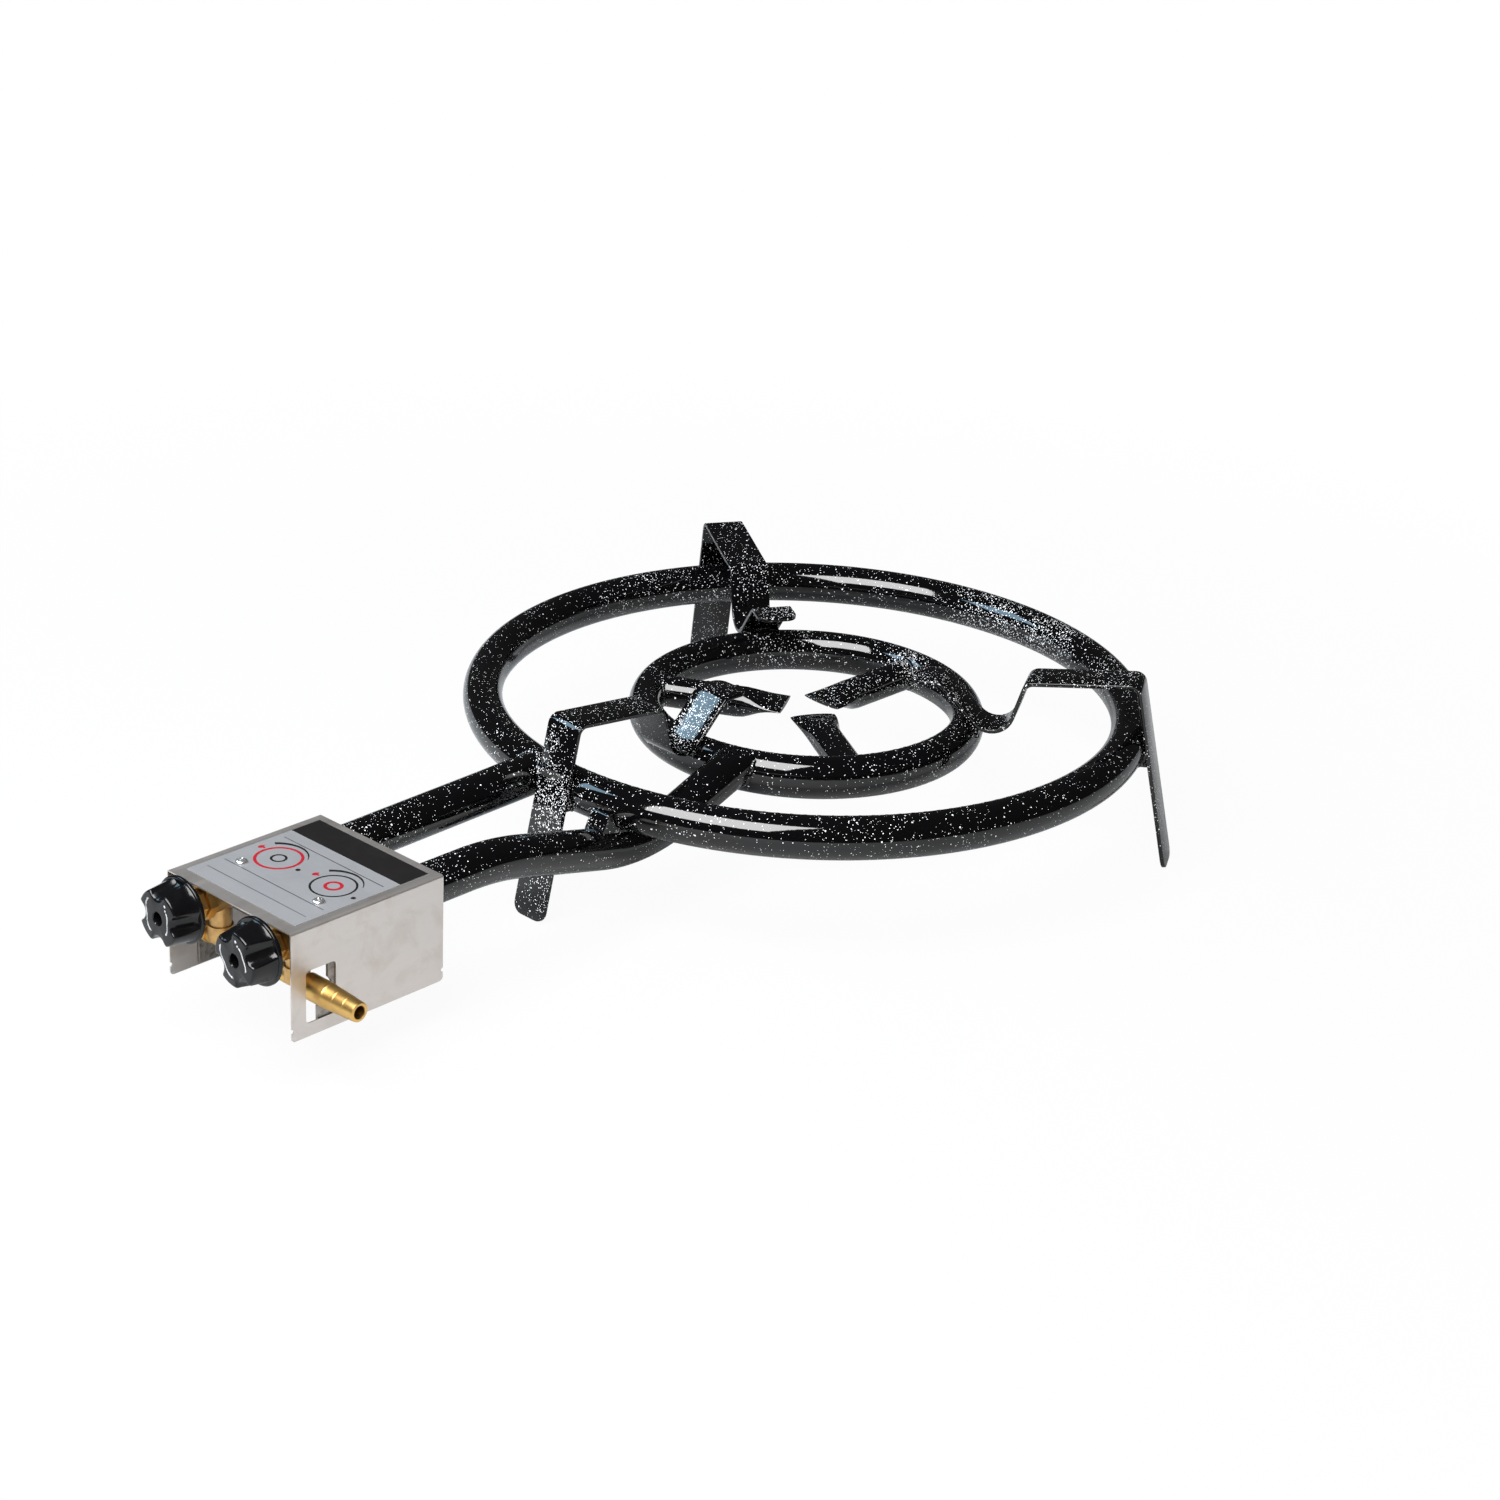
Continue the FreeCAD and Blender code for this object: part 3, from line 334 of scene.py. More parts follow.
outer_radius, outer_half_width, outer_half_height, outer_height = 0.23575, 0.01425, 0.01515, 0.0883
inner_radius, inner_half_width, inner_half_height, inner_height = 0.1176, 0.0124, 0.0156, 0.0785
outer_tube = (outer_radius, outer_half_width, outer_half_height, outer_height)
inner_tube = (inner_radius, inner_half_width, inner_half_height, inner_height)
finish_piece(oval_tube_ring(*outer_tube, 288), "outer_ring_tube", ring_enamel, "burner", "outer_ring")
finish_piece(oval_tube_ring(*inner_tube, 192), "inner_ring_tube", ring_enamel, "burner", "inner_ring")


# The ports are drilled holes about as wide as a pencil lead, each with a low rounded rim where the enamel has
# drawn back from the drilled edge.
# The holes are not cut: a flat near-black disc lies over each one, painted shade that stands in for the dark
# inside of the hole.
port_hole_shade = bpy.data.materials.new("port_hole_shade")
port_hole_shade.use_nodes = True
tree = port_hole_shade.node_tree
soot = tree.nodes.new("ShaderNodeTexNoise")
soot.inputs["Scale"].default_value = 1500
where = tree.nodes.new("ShaderNodeTexCoord")
tree.links.new(where.outputs["Object"], soot.inputs["Vector"])
shade = tree.nodes.new("ShaderNodeMapRange")
shade.inputs["To Min"].default_value = 0.6
shade.inputs["To Max"].default_value = 0.95
tree.links.new(soot.outputs["Fac"], shade.inputs["Value"])
tree.links.new(shade.outputs[0], tree.nodes["Principled BSDF"].inputs["Roughness"])
tree.nodes["Principled BSDF"].inputs["Base Color"].default_value = (0.0015, 0.0015, 0.0015, 1)
tree.nodes["Principled BSDF"].inputs["Specular IOR Level"].default_value = 0.1

port_radius, port_pitch, port_rows, port_shift = 0.0009, 0.0093, (0.0020, 0.0047), 0.25
rim_radius, rim_rise, rim_dip, rim_narrowing, shade_disc_rise = 0.00135, 0.00011, -0.00005, 0.8, 0.00003
stub_radius, stub_ports, stub_port_start, stub_port_pitch, stub_row = 0.0115, 5, 0.048, 0.011, 0.0035


def edges_of(verts):
    return list(dict.fromkeys(e for v in verts for e in v.link_edges))


def grow(mesh, edges):
    grown = bmesh.ops.extrude_edge_only(mesh, edges=edges)["geom"]
    verts = [g for g in grown if isinstance(g, bmesh.types.BMVert)]
    return verts, [g for g in grown if isinstance(g, bmesh.types.BMEdge)]


def add_port(rims, hole_shades, place, lean, turn):
    stand = Matrix.Translation(place) @ Matrix.Rotation(turn, 4, "Z") @ Matrix.Rotation(lean, 4, "Y")
    rim = bmesh.ops.create_circle(rims, segments=10, radius=rim_radius, matrix=stand)
    edges = edges_of(rim["verts"])
    for rise in (rim_rise, rim_dip):
        verts, edges = grow(rims, edges)
        bmesh.ops.scale(rims, vec=(rim_narrowing, rim_narrowing, 1), space=stand.inverted(), verts=verts)
        bmesh.ops.translate(rims, vec=stand.to_3x3() @ Vector((0, 0, rise)), verts=verts)
    # The flat near-black disc over the port is painted shade for the hole's dark inside.
    shade_disc_stand = stand @ Matrix.Translation((0, 0, shade_disc_rise))
    bmesh.ops.create_circle(hole_shades, segments=10, radius=port_radius, cap_ends=True, matrix=shade_disc_stand)


rims, hole_shades = bmesh.new(), bmesh.new()
for radius, half_width, half_height, height in (outer_tube, inner_tube):
    count = round(2 * pi * radius / port_pitch)
    for row, inset in enumerate(port_rows):
        angle = asin(inset / half_width)
        lean = -atan2(half_height * sin(angle), half_width * cos(angle))
        for k in range(count):
            turn = 2 * pi * (k + row / 2 + port_shift) / count
            place = Vector((radius - inset, 0, height + half_height * cos(angle)))
            add_port(rims, hole_shades, ring_axis + Matrix.Rotation(turn, 3, "Z") @ place, lean, turn)
legs_at = [radians(-91 + 120 * k) for k in range(3)]
stubs_at = [angle - radians(60) for angle in legs_at]
for turn in stubs_at:
    for side in (0, 1):
        across = stub_row * (2 * side - 1)
        for k in range(stub_ports):
            reach = stub_port_start + stub_port_pitch * (k + (side + 1) / 2)
            place = Vector((reach, across, inner_height + sqrt(stub_radius ** 2 - across ** 2)))
            add_port(rims, hole_shades, ring_axis + Matrix.Rotation(turn, 3, "Z") @ place, 0, turn)
finish_piece(rims, "port_rims", ring_enamel, "burner", smooth_to=180)
# The near-black discs are painted shade standing in for the insides of the drilled ports.
finish_piece(hole_shades, "port_hole_shade_discs", port_hole_shade, "burner", smooth_to=180)


# The stub burners are short tubes welded into the inner ring and hammered shut at the inner end,
# which leaves a sharp flat lip as wide as half the tube's girth. Each round is its distance from the ring's
# centre, its width, its height and how far its middle is lifted.
stub_rounds = (
    (0.1150, 0.0230, 0.0230, 0.0), (0.0520, 0.0230, 0.0230, 0.0), (0.0460, 0.0236, 0.0222, 0.0004),
    (0.0400, 0.0262, 0.0184, 0.0012), (0.0340, 0.0292, 0.0136, 0.0019), (0.0280, 0.0316, 0.0092, 0.0023),
    (0.0222, 0.0334, 0.0056, 0.0026), (0.0185, 0.0340, 0.0040, 0.0026), (0.0160, 0.0340, 0.0034, 0.0026))
mesh = bmesh.new()
for turn in stubs_at:
    edges = None
    for reach, width, height, lift in stub_rounds:
        if edges is None:
            made = bmesh.ops.create_circle(mesh, segments=40, radius=1)["verts"]
            edges = edges_of(made)
            bmesh.ops.rotate(mesh, cent=(0, 0, 0), matrix=Matrix.Rotation(pi / 2, 3, "Y"), verts=made)
        else:
            made, edges = grow(mesh, edges)
            bmesh.ops.rotate(mesh, cent=ring_axis, matrix=Matrix.Rotation(-turn, 3, "Z"), verts=made)
            bmesh.ops.translate(mesh, vec=-before[0], verts=made)
            bmesh.ops.scale(mesh, vec=(1, 2 / before[1], 2 / before[2]), verts=made)
        place = ring_axis + Vector((reach, 0, inner_height + lift))
        bmesh.ops.scale(mesh, vec=(1, width / 2, height / 2), verts=made)
        bmesh.ops.translate(mesh, vec=place, verts=made)
        bmesh.ops.rotate(mesh, cent=ring_axis, matrix=Matrix.Rotation(turn, 3, "Z"), verts=made)
        before = (place, width, height)
    bmesh.ops.contextual_create(mesh, geom=edges)
bmesh.ops.recalc_face_normals(mesh, faces=mesh.faces)
finish_piece(
    mesh, "stub_burner_tubes", ring_enamel, "burner", "burner_stub_1", "burner_stub_2", "burner_stub_3",
    smooth_to=50)


# The supply tubes are bought tube: the left one runs straight into the outer ring, and the right one
# is bent to dip under the outer ring and climb to the inner ring.
def edge_loop(mesh, place, along, radius):
    stand = Matrix.Translation(place) @ along.to_track_quat("Z", "Y").to_matrix().to_4x4()
    return edges_of(bmesh.ops.create_circle(mesh, segments=48, radius=radius, matrix=stand)["verts"])


def draw_tube(mesh, edges, points, radii, steps):
    heading = (points[1] - points[0]).normalized()
    place = points[0]
    for k in range(1, len(points)):
        run = points[k] - place
        if k < len(points) - 1:
            ahead = (points[k + 1] - points[k]).normalized()
            turn = heading.angle(ahead)
            reach = radii[k - 1] * tan(turn / 2)
            run = (points[k] - heading * reach) - place
        verts, edges = grow(mesh, edges)
        bmesh.ops.translate(mesh, vec=run, verts=verts)
        place = place + run
        if k < len(points) - 1:
            axis = heading.cross(ahead).normalized()
            centre = place + axis.cross(heading) * radii[k - 1]
            bent = bmesh.ops.spin(
                mesh, geom=edges, cent=centre, axis=axis, angle=turn, steps=steps, use_merge=False)
            edges = [g for g in bent["geom_last"] if isinstance(g, bmesh.types.BMEdge)]
            place = centre + Matrix.Rotation(turn, 3, axis) @ (place - centre)
            heading = ahead
    return edges


supply_radius, supply_height, supply_back = 0.0145, 0.0883, -0.3339
left_tap_x, right_tap_x = -0.030, 0.045
supply_crowds = (((-0.03, -0.24, 0.1), 0.05, 0.24), ((0.045, -0.24, 0.1), 0.04, 0.18))
supply_enamel = enamel("supply_enamel", 0.24, 0.12, supply_crowds)
left_path = [Vector((left_tap_x, supply_back, supply_height)), Vector((-0.0365, -0.0749, supply_height))]
mesh = bmesh.new()
draw_tube(mesh, edge_loop(mesh, left_path[0], left_path[1] - left_path[0], supply_radius), left_path, [], 1)
bmesh.ops.recalc_face_normals(mesh, faces=mesh.faces)
finish_piece(mesh, "left_supply_pipe", supply_enamel, "burner", "outer_supply_tube")

# The right tube's last stretch is cut in short steps, so that its top can be levelled to the inner ring's
# crown, with a soft turn, where the joint is.
right_path = [
    Vector((right_tap_x, supply_back, supply_height)), Vector((right_tap_x, -0.19375, supply_height)),
    Vector((0.040, -0.05266, 0.05092)), Vector((0.040, 0.04741, 0.08694))]
right_bends = (0.200, 0.130)
end_steps, end_step = 18, 0.002
joint_front, joint_low, joint_top, softness = 0.012, 0.085, 0.0945, 0.001
climb = (right_path[3] - right_path[2]).normalized()
mesh = bmesh.new()
edges = draw_tube(
    mesh, edge_loop(mesh, right_path[0], Vector((0, 1, 0)), supply_radius),
    right_path[:3] + [right_path[3] - climb * end_steps * end_step], right_bends, 28)
for step in range(end_steps):
    verts, edges = grow(mesh, edges)
    bmesh.ops.translate(mesh, vec=climb * end_step, verts=verts)
for v in mesh.verts:
    if v.co.y > joint_front and v.co.z > joint_low:
        v.co.z = -softness * log(exp(-v.co.z / softness) + exp(-joint_top / softness))
bmesh.ops.recalc_face_normals(mesh, faces=mesh.faces)
finish_piece(mesh, "right_supply_pipe", supply_enamel, "burner", "inner_supply_tube")


# Each leg is one strip of flat steel, 30 by 3 mm, folded four times: a leaning foot, a sloping rest
# for the pan, a drop to the inner ring and an upturned lip, with rounded corners at both ends.
leg_width, leg_thick, leg_corner, leg_edge = 0.030, 0.003, 0.008, 0.0006
leg_line = [
    Vector((0.27326, 0, 0)), Vector((0.24222, 0, 0.13948)), Vector((0.16027, 0, 0.13000)),
    Vector((0.14486, 0, 0.07664)), Vector((0.10024, 0, 0.12120)), Vector((0.07775, 0, 0.12041))]
leg_bends = (0.008, 0.009, 0.015, 0.006)


def folded_strip():
    mesh = bmesh.new()
    foot = [mesh.verts.new(leg_line[0] + Vector((0, side * leg_width / 2, 0))) for side in (-1, 1)]
    draw_tube(mesh, [mesh.edges.new(foot)], leg_line, leg_bends, 10)
    tips = sorted(mesh.verts, key=lambda v: v.co.x)[:2]
    for corners in (foot, tips):
        bmesh.ops.bevel(
            mesh, geom=corners, offset=leg_corner, affect="VERTICES", segments=8, profile=0.5, material=-1)
    mesh.normal_update()
    bmesh.ops.recalc_face_normals(mesh, faces=mesh.faces)
    rest = max(mesh.faces, key=lambda f: f.calc_center_median().z)
    if rest.normal.z < 0:
        bmesh.ops.reverse_faces(mesh, faces=mesh.faces)
    bmesh.ops.solidify(mesh, geom=mesh.faces[:], thickness=leg_thick)
    mesh.normal_update()
    rim = [e for e in mesh.edges if len(e.link_faces) == 2 and e.calc_face_angle() > radians(60)]
    bmesh.ops.bevel(
        mesh, geom=rim, offset=leg_edge, affect="EDGES", segments=3, profile=0.5, material=-1,
        clamp_overlap=True)
    return mesh


front_leg_crowds = (((-0.004, -0.103, 0.068), 0.056, 0.21), ((-0.002, 0.040, 0.095), 0.034, 0.36))
front_leg_enamel = enamel("front_leg_enamel", 0.42, 0.16, front_leg_crowds)
side_leg_enamel = enamel("side_leg_enamel", 0.45, 0.14)
for number, turn in enumerate(legs_at, 1):
    mesh = folded_strip()
    bmesh.ops.translate(mesh, vec=ring_axis, verts=mesh.verts)
    bmesh.ops.rotate(mesh, cent=ring_axis, matrix=Matrix.Rotation(turn, 3, "Z"), verts=mesh.verts)
    for v in mesh.verts:
        v.co.z = max(v.co.z, 0)
    coat = front_leg_enamel if number == 1 else side_leg_enamel
    finish_piece(mesh, "leg_strip_%d" % number, coat, "burner", "leg_%d" % number, smooth_to=35)


# The strips are welded to the outside of the outer ring and to the shoulder of the inner ring, and the
# supply tubes to both rings, with short uneven beads that the enamel covers and crowds with flecks.
# A bead is a row of melted drops, whose sizes wander a little and shrink at its ends.
bead_enamel = enamel("bead_enamel", 0.44, 0.20, [((-0.004, -0.099, 0.085), 0.05, 0.5)])
thick_bead, thin_bead, crossing_bead = 0.0019, 0.0016, 0.0026
end_share, drop_shape, melt_size = 0.75, (1.15, 1.15, 0.9, 1), 0.0007


def weld_bead(mesh, places, thick, seed):
    for k, place in enumerate(places):
        wobble = 1 + 0.14 * sin(2.7 * k + seed) + 0.08 * sin(5.3 * k + 2 * seed)
        size = thick * wobble * (end_share if k in (0, len(places) - 1) else 1)
        stand = Matrix.Translation(place) @ Matrix.Diagonal(drop_shape)
        bmesh.ops.create_uvsphere(mesh, u_segments=14, v_segments=9, radius=size, matrix=stand)


def bead_piece(mesh, name, *stands_for):
    piece = finish_piece(mesh, name, bead_enamel, "burner", *stands_for, smooth_to=180)
    melt = piece.modifiers.new("melt", "REMESH")
    melt.mode = "VOXEL"
    melt.voxel_size = melt_size
    melt.use_smooth_shade = True
    soften = piece.modifiers.new("soften", "SMOOTH")
    soften.iterations = 10


leg_bead_side, leg_bead_gap = 0.0133, 0.0002
side_bead_low, side_bead_pitch, side_bead_drops = 0.0772, 0.0020, 7
shoulder_start, shoulder_pitch, shoulder_drops = 0.1240, 0.0011, 6
mesh = bmesh.new()
mesh.from_mesh(nodes["leg_welds"].data)
for turn in legs_at:
    stand = Matrix.Rotation(turn, 3, "Z")
    for side in (-1, 1):
        spots = []
        for k in range(side_bead_drops):
            height = side_bead_low + side_bead_pitch * k
            rise = (height - outer_height) / outer_half_height
            reach = outer_radius + outer_half_width * sqrt(1 - rise ** 2) + leg_bead_gap
            spots.append(ring_axis + stand @ Vector((reach, side * leg_bead_side, height)))
        weld_bead(mesh, spots, thick_bead, turn + side)
        spots = []
        for k in range(shoulder_drops):
            reach = shoulder_start + shoulder_pitch * k
            out = (reach - inner_radius) / inner_half_width
            height = inner_height + inner_half_height * sqrt(1 - out ** 2) + leg_bead_gap
            spots.append(ring_axis + stand @ Vector((reach, side * leg_bead_side, height)))
        weld_bead(mesh, spots, thin_bead, 3 * turn + side)
bead_piece(mesh, "leg_weld_beads", "leg_welds")


# Round a tube that ends in a ring, each drop lies where a line along the tube's side first meets the ring.
search_step, search_steps, touch_share = 0.0007, 60, 1.02


def joint_loop(mesh, centre, along, radius, ring, count, thick, seed):
    ring_radius, half_width, half_height, height = ring
    across = along.cross(Vector((0, 0, 1))).normalized()
    rise = across.cross(along).normalized()
    spots = []
    for k in range(count):
        angle = 2 * pi * k / count
        around = centre + across * (radius * cos(angle)) + rise * (radius * sin(angle))
        for step in range(search_steps):
            place = around + along * (search_step * step)
            flat = Vector((place.x - ring_axis.x, place.y - ring_axis.y, 0)).length
            inside = ((flat - ring_radius) / half_width) ** 2 + ((place.z - height) / half_height) ** 2
            if inside <= touch_share:
                spots.append(place)
                break
    weld_bead(mesh, spots, thick, seed)


search_back, stub_search = 0.028, 0.094
mesh = bmesh.new()
along = (left_path[1] - left_path[0]).normalized()
joint_loop(mesh, left_path[1] - along * search_back, along, supply_radius, outer_tube, 44, thick_bead, 1)
joint_loop(mesh, right_path[3] - climb * search_back, climb, supply_radius, inner_tube, 44, thick_bead, 4)
for turn in stubs_at:
    along = Matrix.Rotation(turn, 3, "Z") @ Vector((1, 0, 0))
    start = ring_axis + Vector((0, 0, inner_height)) + along * stub_search
    joint_loop(mesh, start, along, stub_radius, inner_tube, 34, thin_bead, 7 + turn)
bead_piece(mesh, "tube_weld_beads")

# Where the right supply tube passes under the outer ring, six drops in a wavering row tie the two together.
crossing_start, crossing_drops = Vector((0.0335, -0.0925, 0.0745)), 6
crossing_pitch, crossing_stagger, crossing_waver = 0.0026, 0.0006, 0.0012
mesh = bmesh.new()
mesh.from_mesh(nodes["crossing_weld"].data)
for k in range(crossing_drops):
    step = Vector((crossing_pitch * k, -crossing_stagger * (k % 2), crossing_waver * sin(3 * k)))
    weld_bead(mesh, [crossing_start + step], crossing_bead, 2.3 * k)
bead_piece(mesh, "crossing_weld_bead", "crossing_weld")


# The cover is thin stainless sheet, brushed, cut with a window for the hose nozzle and folded over the taps;
# handling has left faint smudges on it. The bracket under it is plain dull sheet, stained by handling.
def marks_group():
    group = bpy.data.node_groups.new("surface_marks", "ShaderNodeTree")
    face = group.interface
    face.new_socket("Stretch", in_out="INPUT", socket_type="NodeSocketVector")
    face.new_socket("Grain Scale", in_out="INPUT", socket_type="NodeSocketFloat")
    face.new_socket("Smudge Scale", in_out="INPUT", socket_type="NodeSocketFloat")
    face.new_socket("Grain", in_out="OUTPUT", socket_type="NodeSocketFloat")
    face.new_socket("Smudge", in_out="OUTPUT", socket_type="NodeSocketFloat")
    add, link = group.nodes.new, group.links.new
    enter = add("NodeGroupInput")
    leave = add("NodeGroupOutput")
    where = add("ShaderNodeTexCoord")
    stretch = add("ShaderNodeVectorMath")
    stretch.operation = "MULTIPLY"
    link(where.outputs["Object"], stretch.inputs[0])
    link(enter.outputs["Stretch"], stretch.inputs[1])
    grain = add("ShaderNodeTexNoise")
    grain.inputs["Detail"].default_value = 6
    grain.inputs["Roughness"].default_value = 0.7
    link(stretch.outputs[0], grain.inputs["Vector"])
    link(enter.outputs["Grain Scale"], grain.inputs["Scale"])
    even = add("ShaderNodeMapRange")
    even.inputs["From Min"].default_value = 0.3
    even.inputs["From Max"].default_value = 0.7
    link(grain.outputs["Fac"], even.inputs["Value"])
    link(even.outputs[0], leave.inputs["Grain"])
    cloud = add("ShaderNodeTexNoise")
    cloud.inputs["Detail"].default_value = 6
    cloud.inputs["Roughness"].default_value = 0.65
    cloud.inputs["Distortion"].default_value = 0.6
    link(where.outputs["Object"], cloud.inputs["Vector"])
    link(enter.outputs["Smudge Scale"], cloud.inputs["Scale"])
    stain = add("ShaderNodeMapRange")
    stain.inputs["From Min"].default_value = 0.48
    stain.inputs["From Max"].default_value = 0.72
    link(cloud.outputs["Fac"], stain.inputs["Value"])
    link(stain.outputs[0], leave.inputs["Smudge"])
    return group


marks = marks_group()


# A finish is its clean and its stained colour, how much of the stain shows, the least and most roughness, how
# the grain is stretched, grains and smudges per metre, how deep the grain is and how far it changes the tone.
def finish(name, colour, stained, amount, roughness, stretch, grain, smudge, dent, streak=0.06):
    material = bpy.data.materials.new(name)
    material.use_nodes = True
    tree = material.node_tree
    add, link = tree.nodes.new, tree.links.new
    shader = tree.nodes["Principled BSDF"]
    worn = add("ShaderNodeGroup")
    worn.node_tree = marks
    worn.inputs["Stretch"].default_value = stretch
    worn.inputs["Grain Scale"].default_value = grain
    worn.inputs["Smudge Scale"].default_value = smudge
    share = add("ShaderNodeMath")
    share.operation = "MULTIPLY"
    share.inputs[1].default_value = amount
    link(worn.outputs["Smudge"], share.inputs[0])
    tone = add("ShaderNodeMix")
    tone.data_type = "RGBA"
    tone.inputs["A"].default_value = (*colour, 1)
    tone.inputs["B"].default_value = (*stained, 1)
    link(share.outputs[0], tone.inputs["Factor"])
    shade = add("ShaderNodeMapRange")
    shade.inputs["To Min"].default_value = 1 - streak
    shade.inputs["To Max"].default_value = 1 + streak / 2
    link(worn.outputs["Grain"], shade.inputs["Value"])
    toned = add("ShaderNodeVectorMath")
    toned.operation = "SCALE"
    link(tone.outputs["Result"], toned.inputs[0])
    link(shade.outputs[0], toned.inputs["Scale"])
    link(toned.outputs[0], shader.inputs["Base Color"])
    rough = add("ShaderNodeMapRange")
    rough.inputs["To Min"].default_value = roughness[0]
    rough.inputs["To Max"].default_value = roughness[1]
    link(worn.outputs["Grain"], rough.inputs["Value"])
    link(rough.outputs[0], shader.inputs["Roughness"])
    bump = add("ShaderNodeBump")
    bump.inputs["Strength"].default_value = 0.3
    bump.inputs["Distance"].default_value = dent
    link(worn.outputs["Grain"], bump.inputs["Height"])
    link(bump.outputs[0], shader.inputs["Normal"])
    return material


def set_shader(material, socket, value):
    material.node_tree.nodes["Principled BSDF"].inputs[socket].default_value = value


def metal(name, *looks):
    material = finish(name, *looks)
    set_shader(material, "Metallic", 1)
    return material


cover_steel = metal(
    "cover_steel", (0.66, 0.62, 0.59), (0.42, 0.33, 0.26), 0.36, (0.34, 0.44), (1, 0.02, 1), 60, 38, 0.00002)
set_shader(cover_steel, "Metallic", 0.88)
nodes["cover"].material_slots[0].material = cover_steel
bracket_steel = metal(
    "bracket_steel", (0.42, 0.39, 0.36), (0.14, 0.12, 0.10), 1.0, (0.40, 0.60), (1, 1, 0.3), 300, 150,
    0.00008, 0.3)
same_place = 0.000002
mesh = bmesh.new()
mesh.from_mesh(nodes["bracket"].data)
bmesh.ops.remove_doubles(mesh, verts=mesh.verts, dist=same_place)
finish_piece(mesh, "bracket_sheet", bracket_steel, "burner", "bracket", smooth_to=30, slot="cover_steel")


# The label plate is thin satin aluminium glued to the cover, printed with a black band, thin rules and one
# dial for each tap: a large red ring for the outer burner and a small one for the inner burner.
label_metal = finish(
    "label_metal", (0.200, 0.204, 0.213), (0.170, 0.175, 0.185), 0.5, (0.42, 0.5), (0.05, 1, 1), 900, 30,
    0.00001)
nodes["label_plate"].material_slots[0].material = label_metal
black_ink = finish(
    "black_ink", (0.010, 0.0090, 0.0090), (0.014, 0.0125, 0.0125), 0.8, (0.3, 0.4), (1, 1, 1), 900, 60,
    0.00001)
set_shader(black_ink, "Specular IOR Level", 0.3)
red_ink = finish(
    "red_ink", (0.31, 0.010, 0.020), (0.27, 0.014, 0.024), 0.8, (0.3, 0.4), (1, 1, 1), 900, 60, 0.00001)
label_top = 0.10594
band_left, band_right, band_front, band_rear = -0.0454, 0.0604, -0.2875, -0.2641
rule_left, rule_right = -0.0405, 0.0555
rules = ((-0.2977, 0.0006), (-0.3461, 0.0006), (-0.3600, 0.0005))
big_red_ring, small_black_ring = (0.0162, 0.0021), (0.0056, 0.0016)
big_black_ring, small_red_ring = (0.0155, 0.0015), (0.0064, 0.0023)
arc_first, arc_last, arc_steps = radians(147), radians(40), 40
arc_start_reach, arc_end_reach, arc_width, arc_thinning = 0.0204, 0.0182, 0.0030, 0.85
dot_place, dot_radius = Vector((0.0210, -0.0018, 0)), 0.0017
flame_place, flame_radius, flame_stretch, flame_tip = Vector((-0.0205, 0.0025, 0)), 0.0018, 1.3, 0.0012
spark_place, spark_radius = Vector((-0.0180, 0.0028, 0)), 0.0009


def ring_print(mesh, centre, radius, width):
    edges = []
    for reach in (radius, radius - width):
        edges += edges_of(bmesh.ops.create_circle(
            mesh, segments=72, radius=reach, matrix=Matrix.Translation(centre))["verts"])
    bmesh.ops.bridge_loops(mesh, edges=edges)


def spot_print(mesh, place, radius, stretch=1.0):
    stand = Matrix.Translation(place) @ Matrix.Diagonal((1, stretch, 1, 1))
    return bmesh.ops.create_circle(mesh, segments=20, radius=radius, cap_ends=True, matrix=stand)["verts"]


def bar_print(mesh, left, right, front, rear):
    stand = Matrix.Translation(((left + right) / 2, (front + rear) / 2, label_top))
    stand = stand @ Matrix.Diagonal(((right - left) / 2, (rear - front) / 2, 1, 1))
    bmesh.ops.create_grid(mesh, x_segments=1, y_segments=1, size=1, matrix=stand)


def tapered_arc(mesh, centre):
    for k in range(arc_steps + 1):
        share = k / arc_steps
        angle = arc_first + (arc_last - arc_first) * share
        heading = Vector((cos(angle), sin(angle), 0))
        inner = arc_start_reach + (arc_end_reach - arc_start_reach) * share
        ends = (inner, inner + arc_width * (1 - arc_thinning * share))
        if k:
            verts, edges = grow(mesh, edges)
            verts.sort(key=lambda v: (v.co - centre).length)
            for v, reach in zip(verts, ends):
                v.co = centre + heading * reach
        else:
            verts = [mesh.verts.new(centre + heading * reach) for reach in ends]
            edges = [mesh.edges.new(verts)]


black, red = bmesh.new(), bmesh.new()
bar_print(black, band_left, band_right, band_front, band_rear)
for front, width in rules:
    bar_print(black, rule_left, rule_right, front, front + width)
outer_dial, inner_dial = Vector((-0.0189, -0.3199, label_top)), Vector((0.0342, -0.3198, label_top))
ring_print(red, outer_dial, *big_red_ring)
ring_print(black, outer_dial, *small_black_ring)
ring_print(black, inner_dial, *big_black_ring)
ring_print(red, inner_dial, *small_red_ring)
for centre in (outer_dial, inner_dial):
    tapered_arc(black, centre)
    spot_print(black, centre + dot_place, dot_radius)
    flame = spot_print(red, centre + flame_place, flame_radius, flame_stretch)
    max(flame, key=lambda v: v.co.y).co.y += flame_tip
    spot_print(red, centre + spark_place, spark_radius)
for mesh, name, ink in ((black, "black_prints", black_ink), (red, "red_prints", red_ink)):
    for face in mesh.faces:
        face.normal_update()
        if face.normal.z < 0:
            face.normal_flip()
    finish_piece(mesh, name, ink, "burner", slot="label_plate")


# Two bright pan-head screws with cross recesses hold the label, the cover and the bracket together; the nuts
# under them, the screws in the ears of the taps and the springs are plain plated steel.
bright_steel = metal(
    "bright_steel", (0.84, 0.84, 0.84), (0.66, 0.65, 0.63), 0.4, (0.20, 0.28), (1, 1, 1), 900, 300, 0.00001)
set_shader(bright_steel, "Metallic", 0.9)
plated_steel = metal(
    "plated_steel", (0.56, 0.55, 0.54), (0.36, 0.34, 0.32), 0.7, (0.25, 0.40), (1, 1, 1), 700, 200, 0.00004)
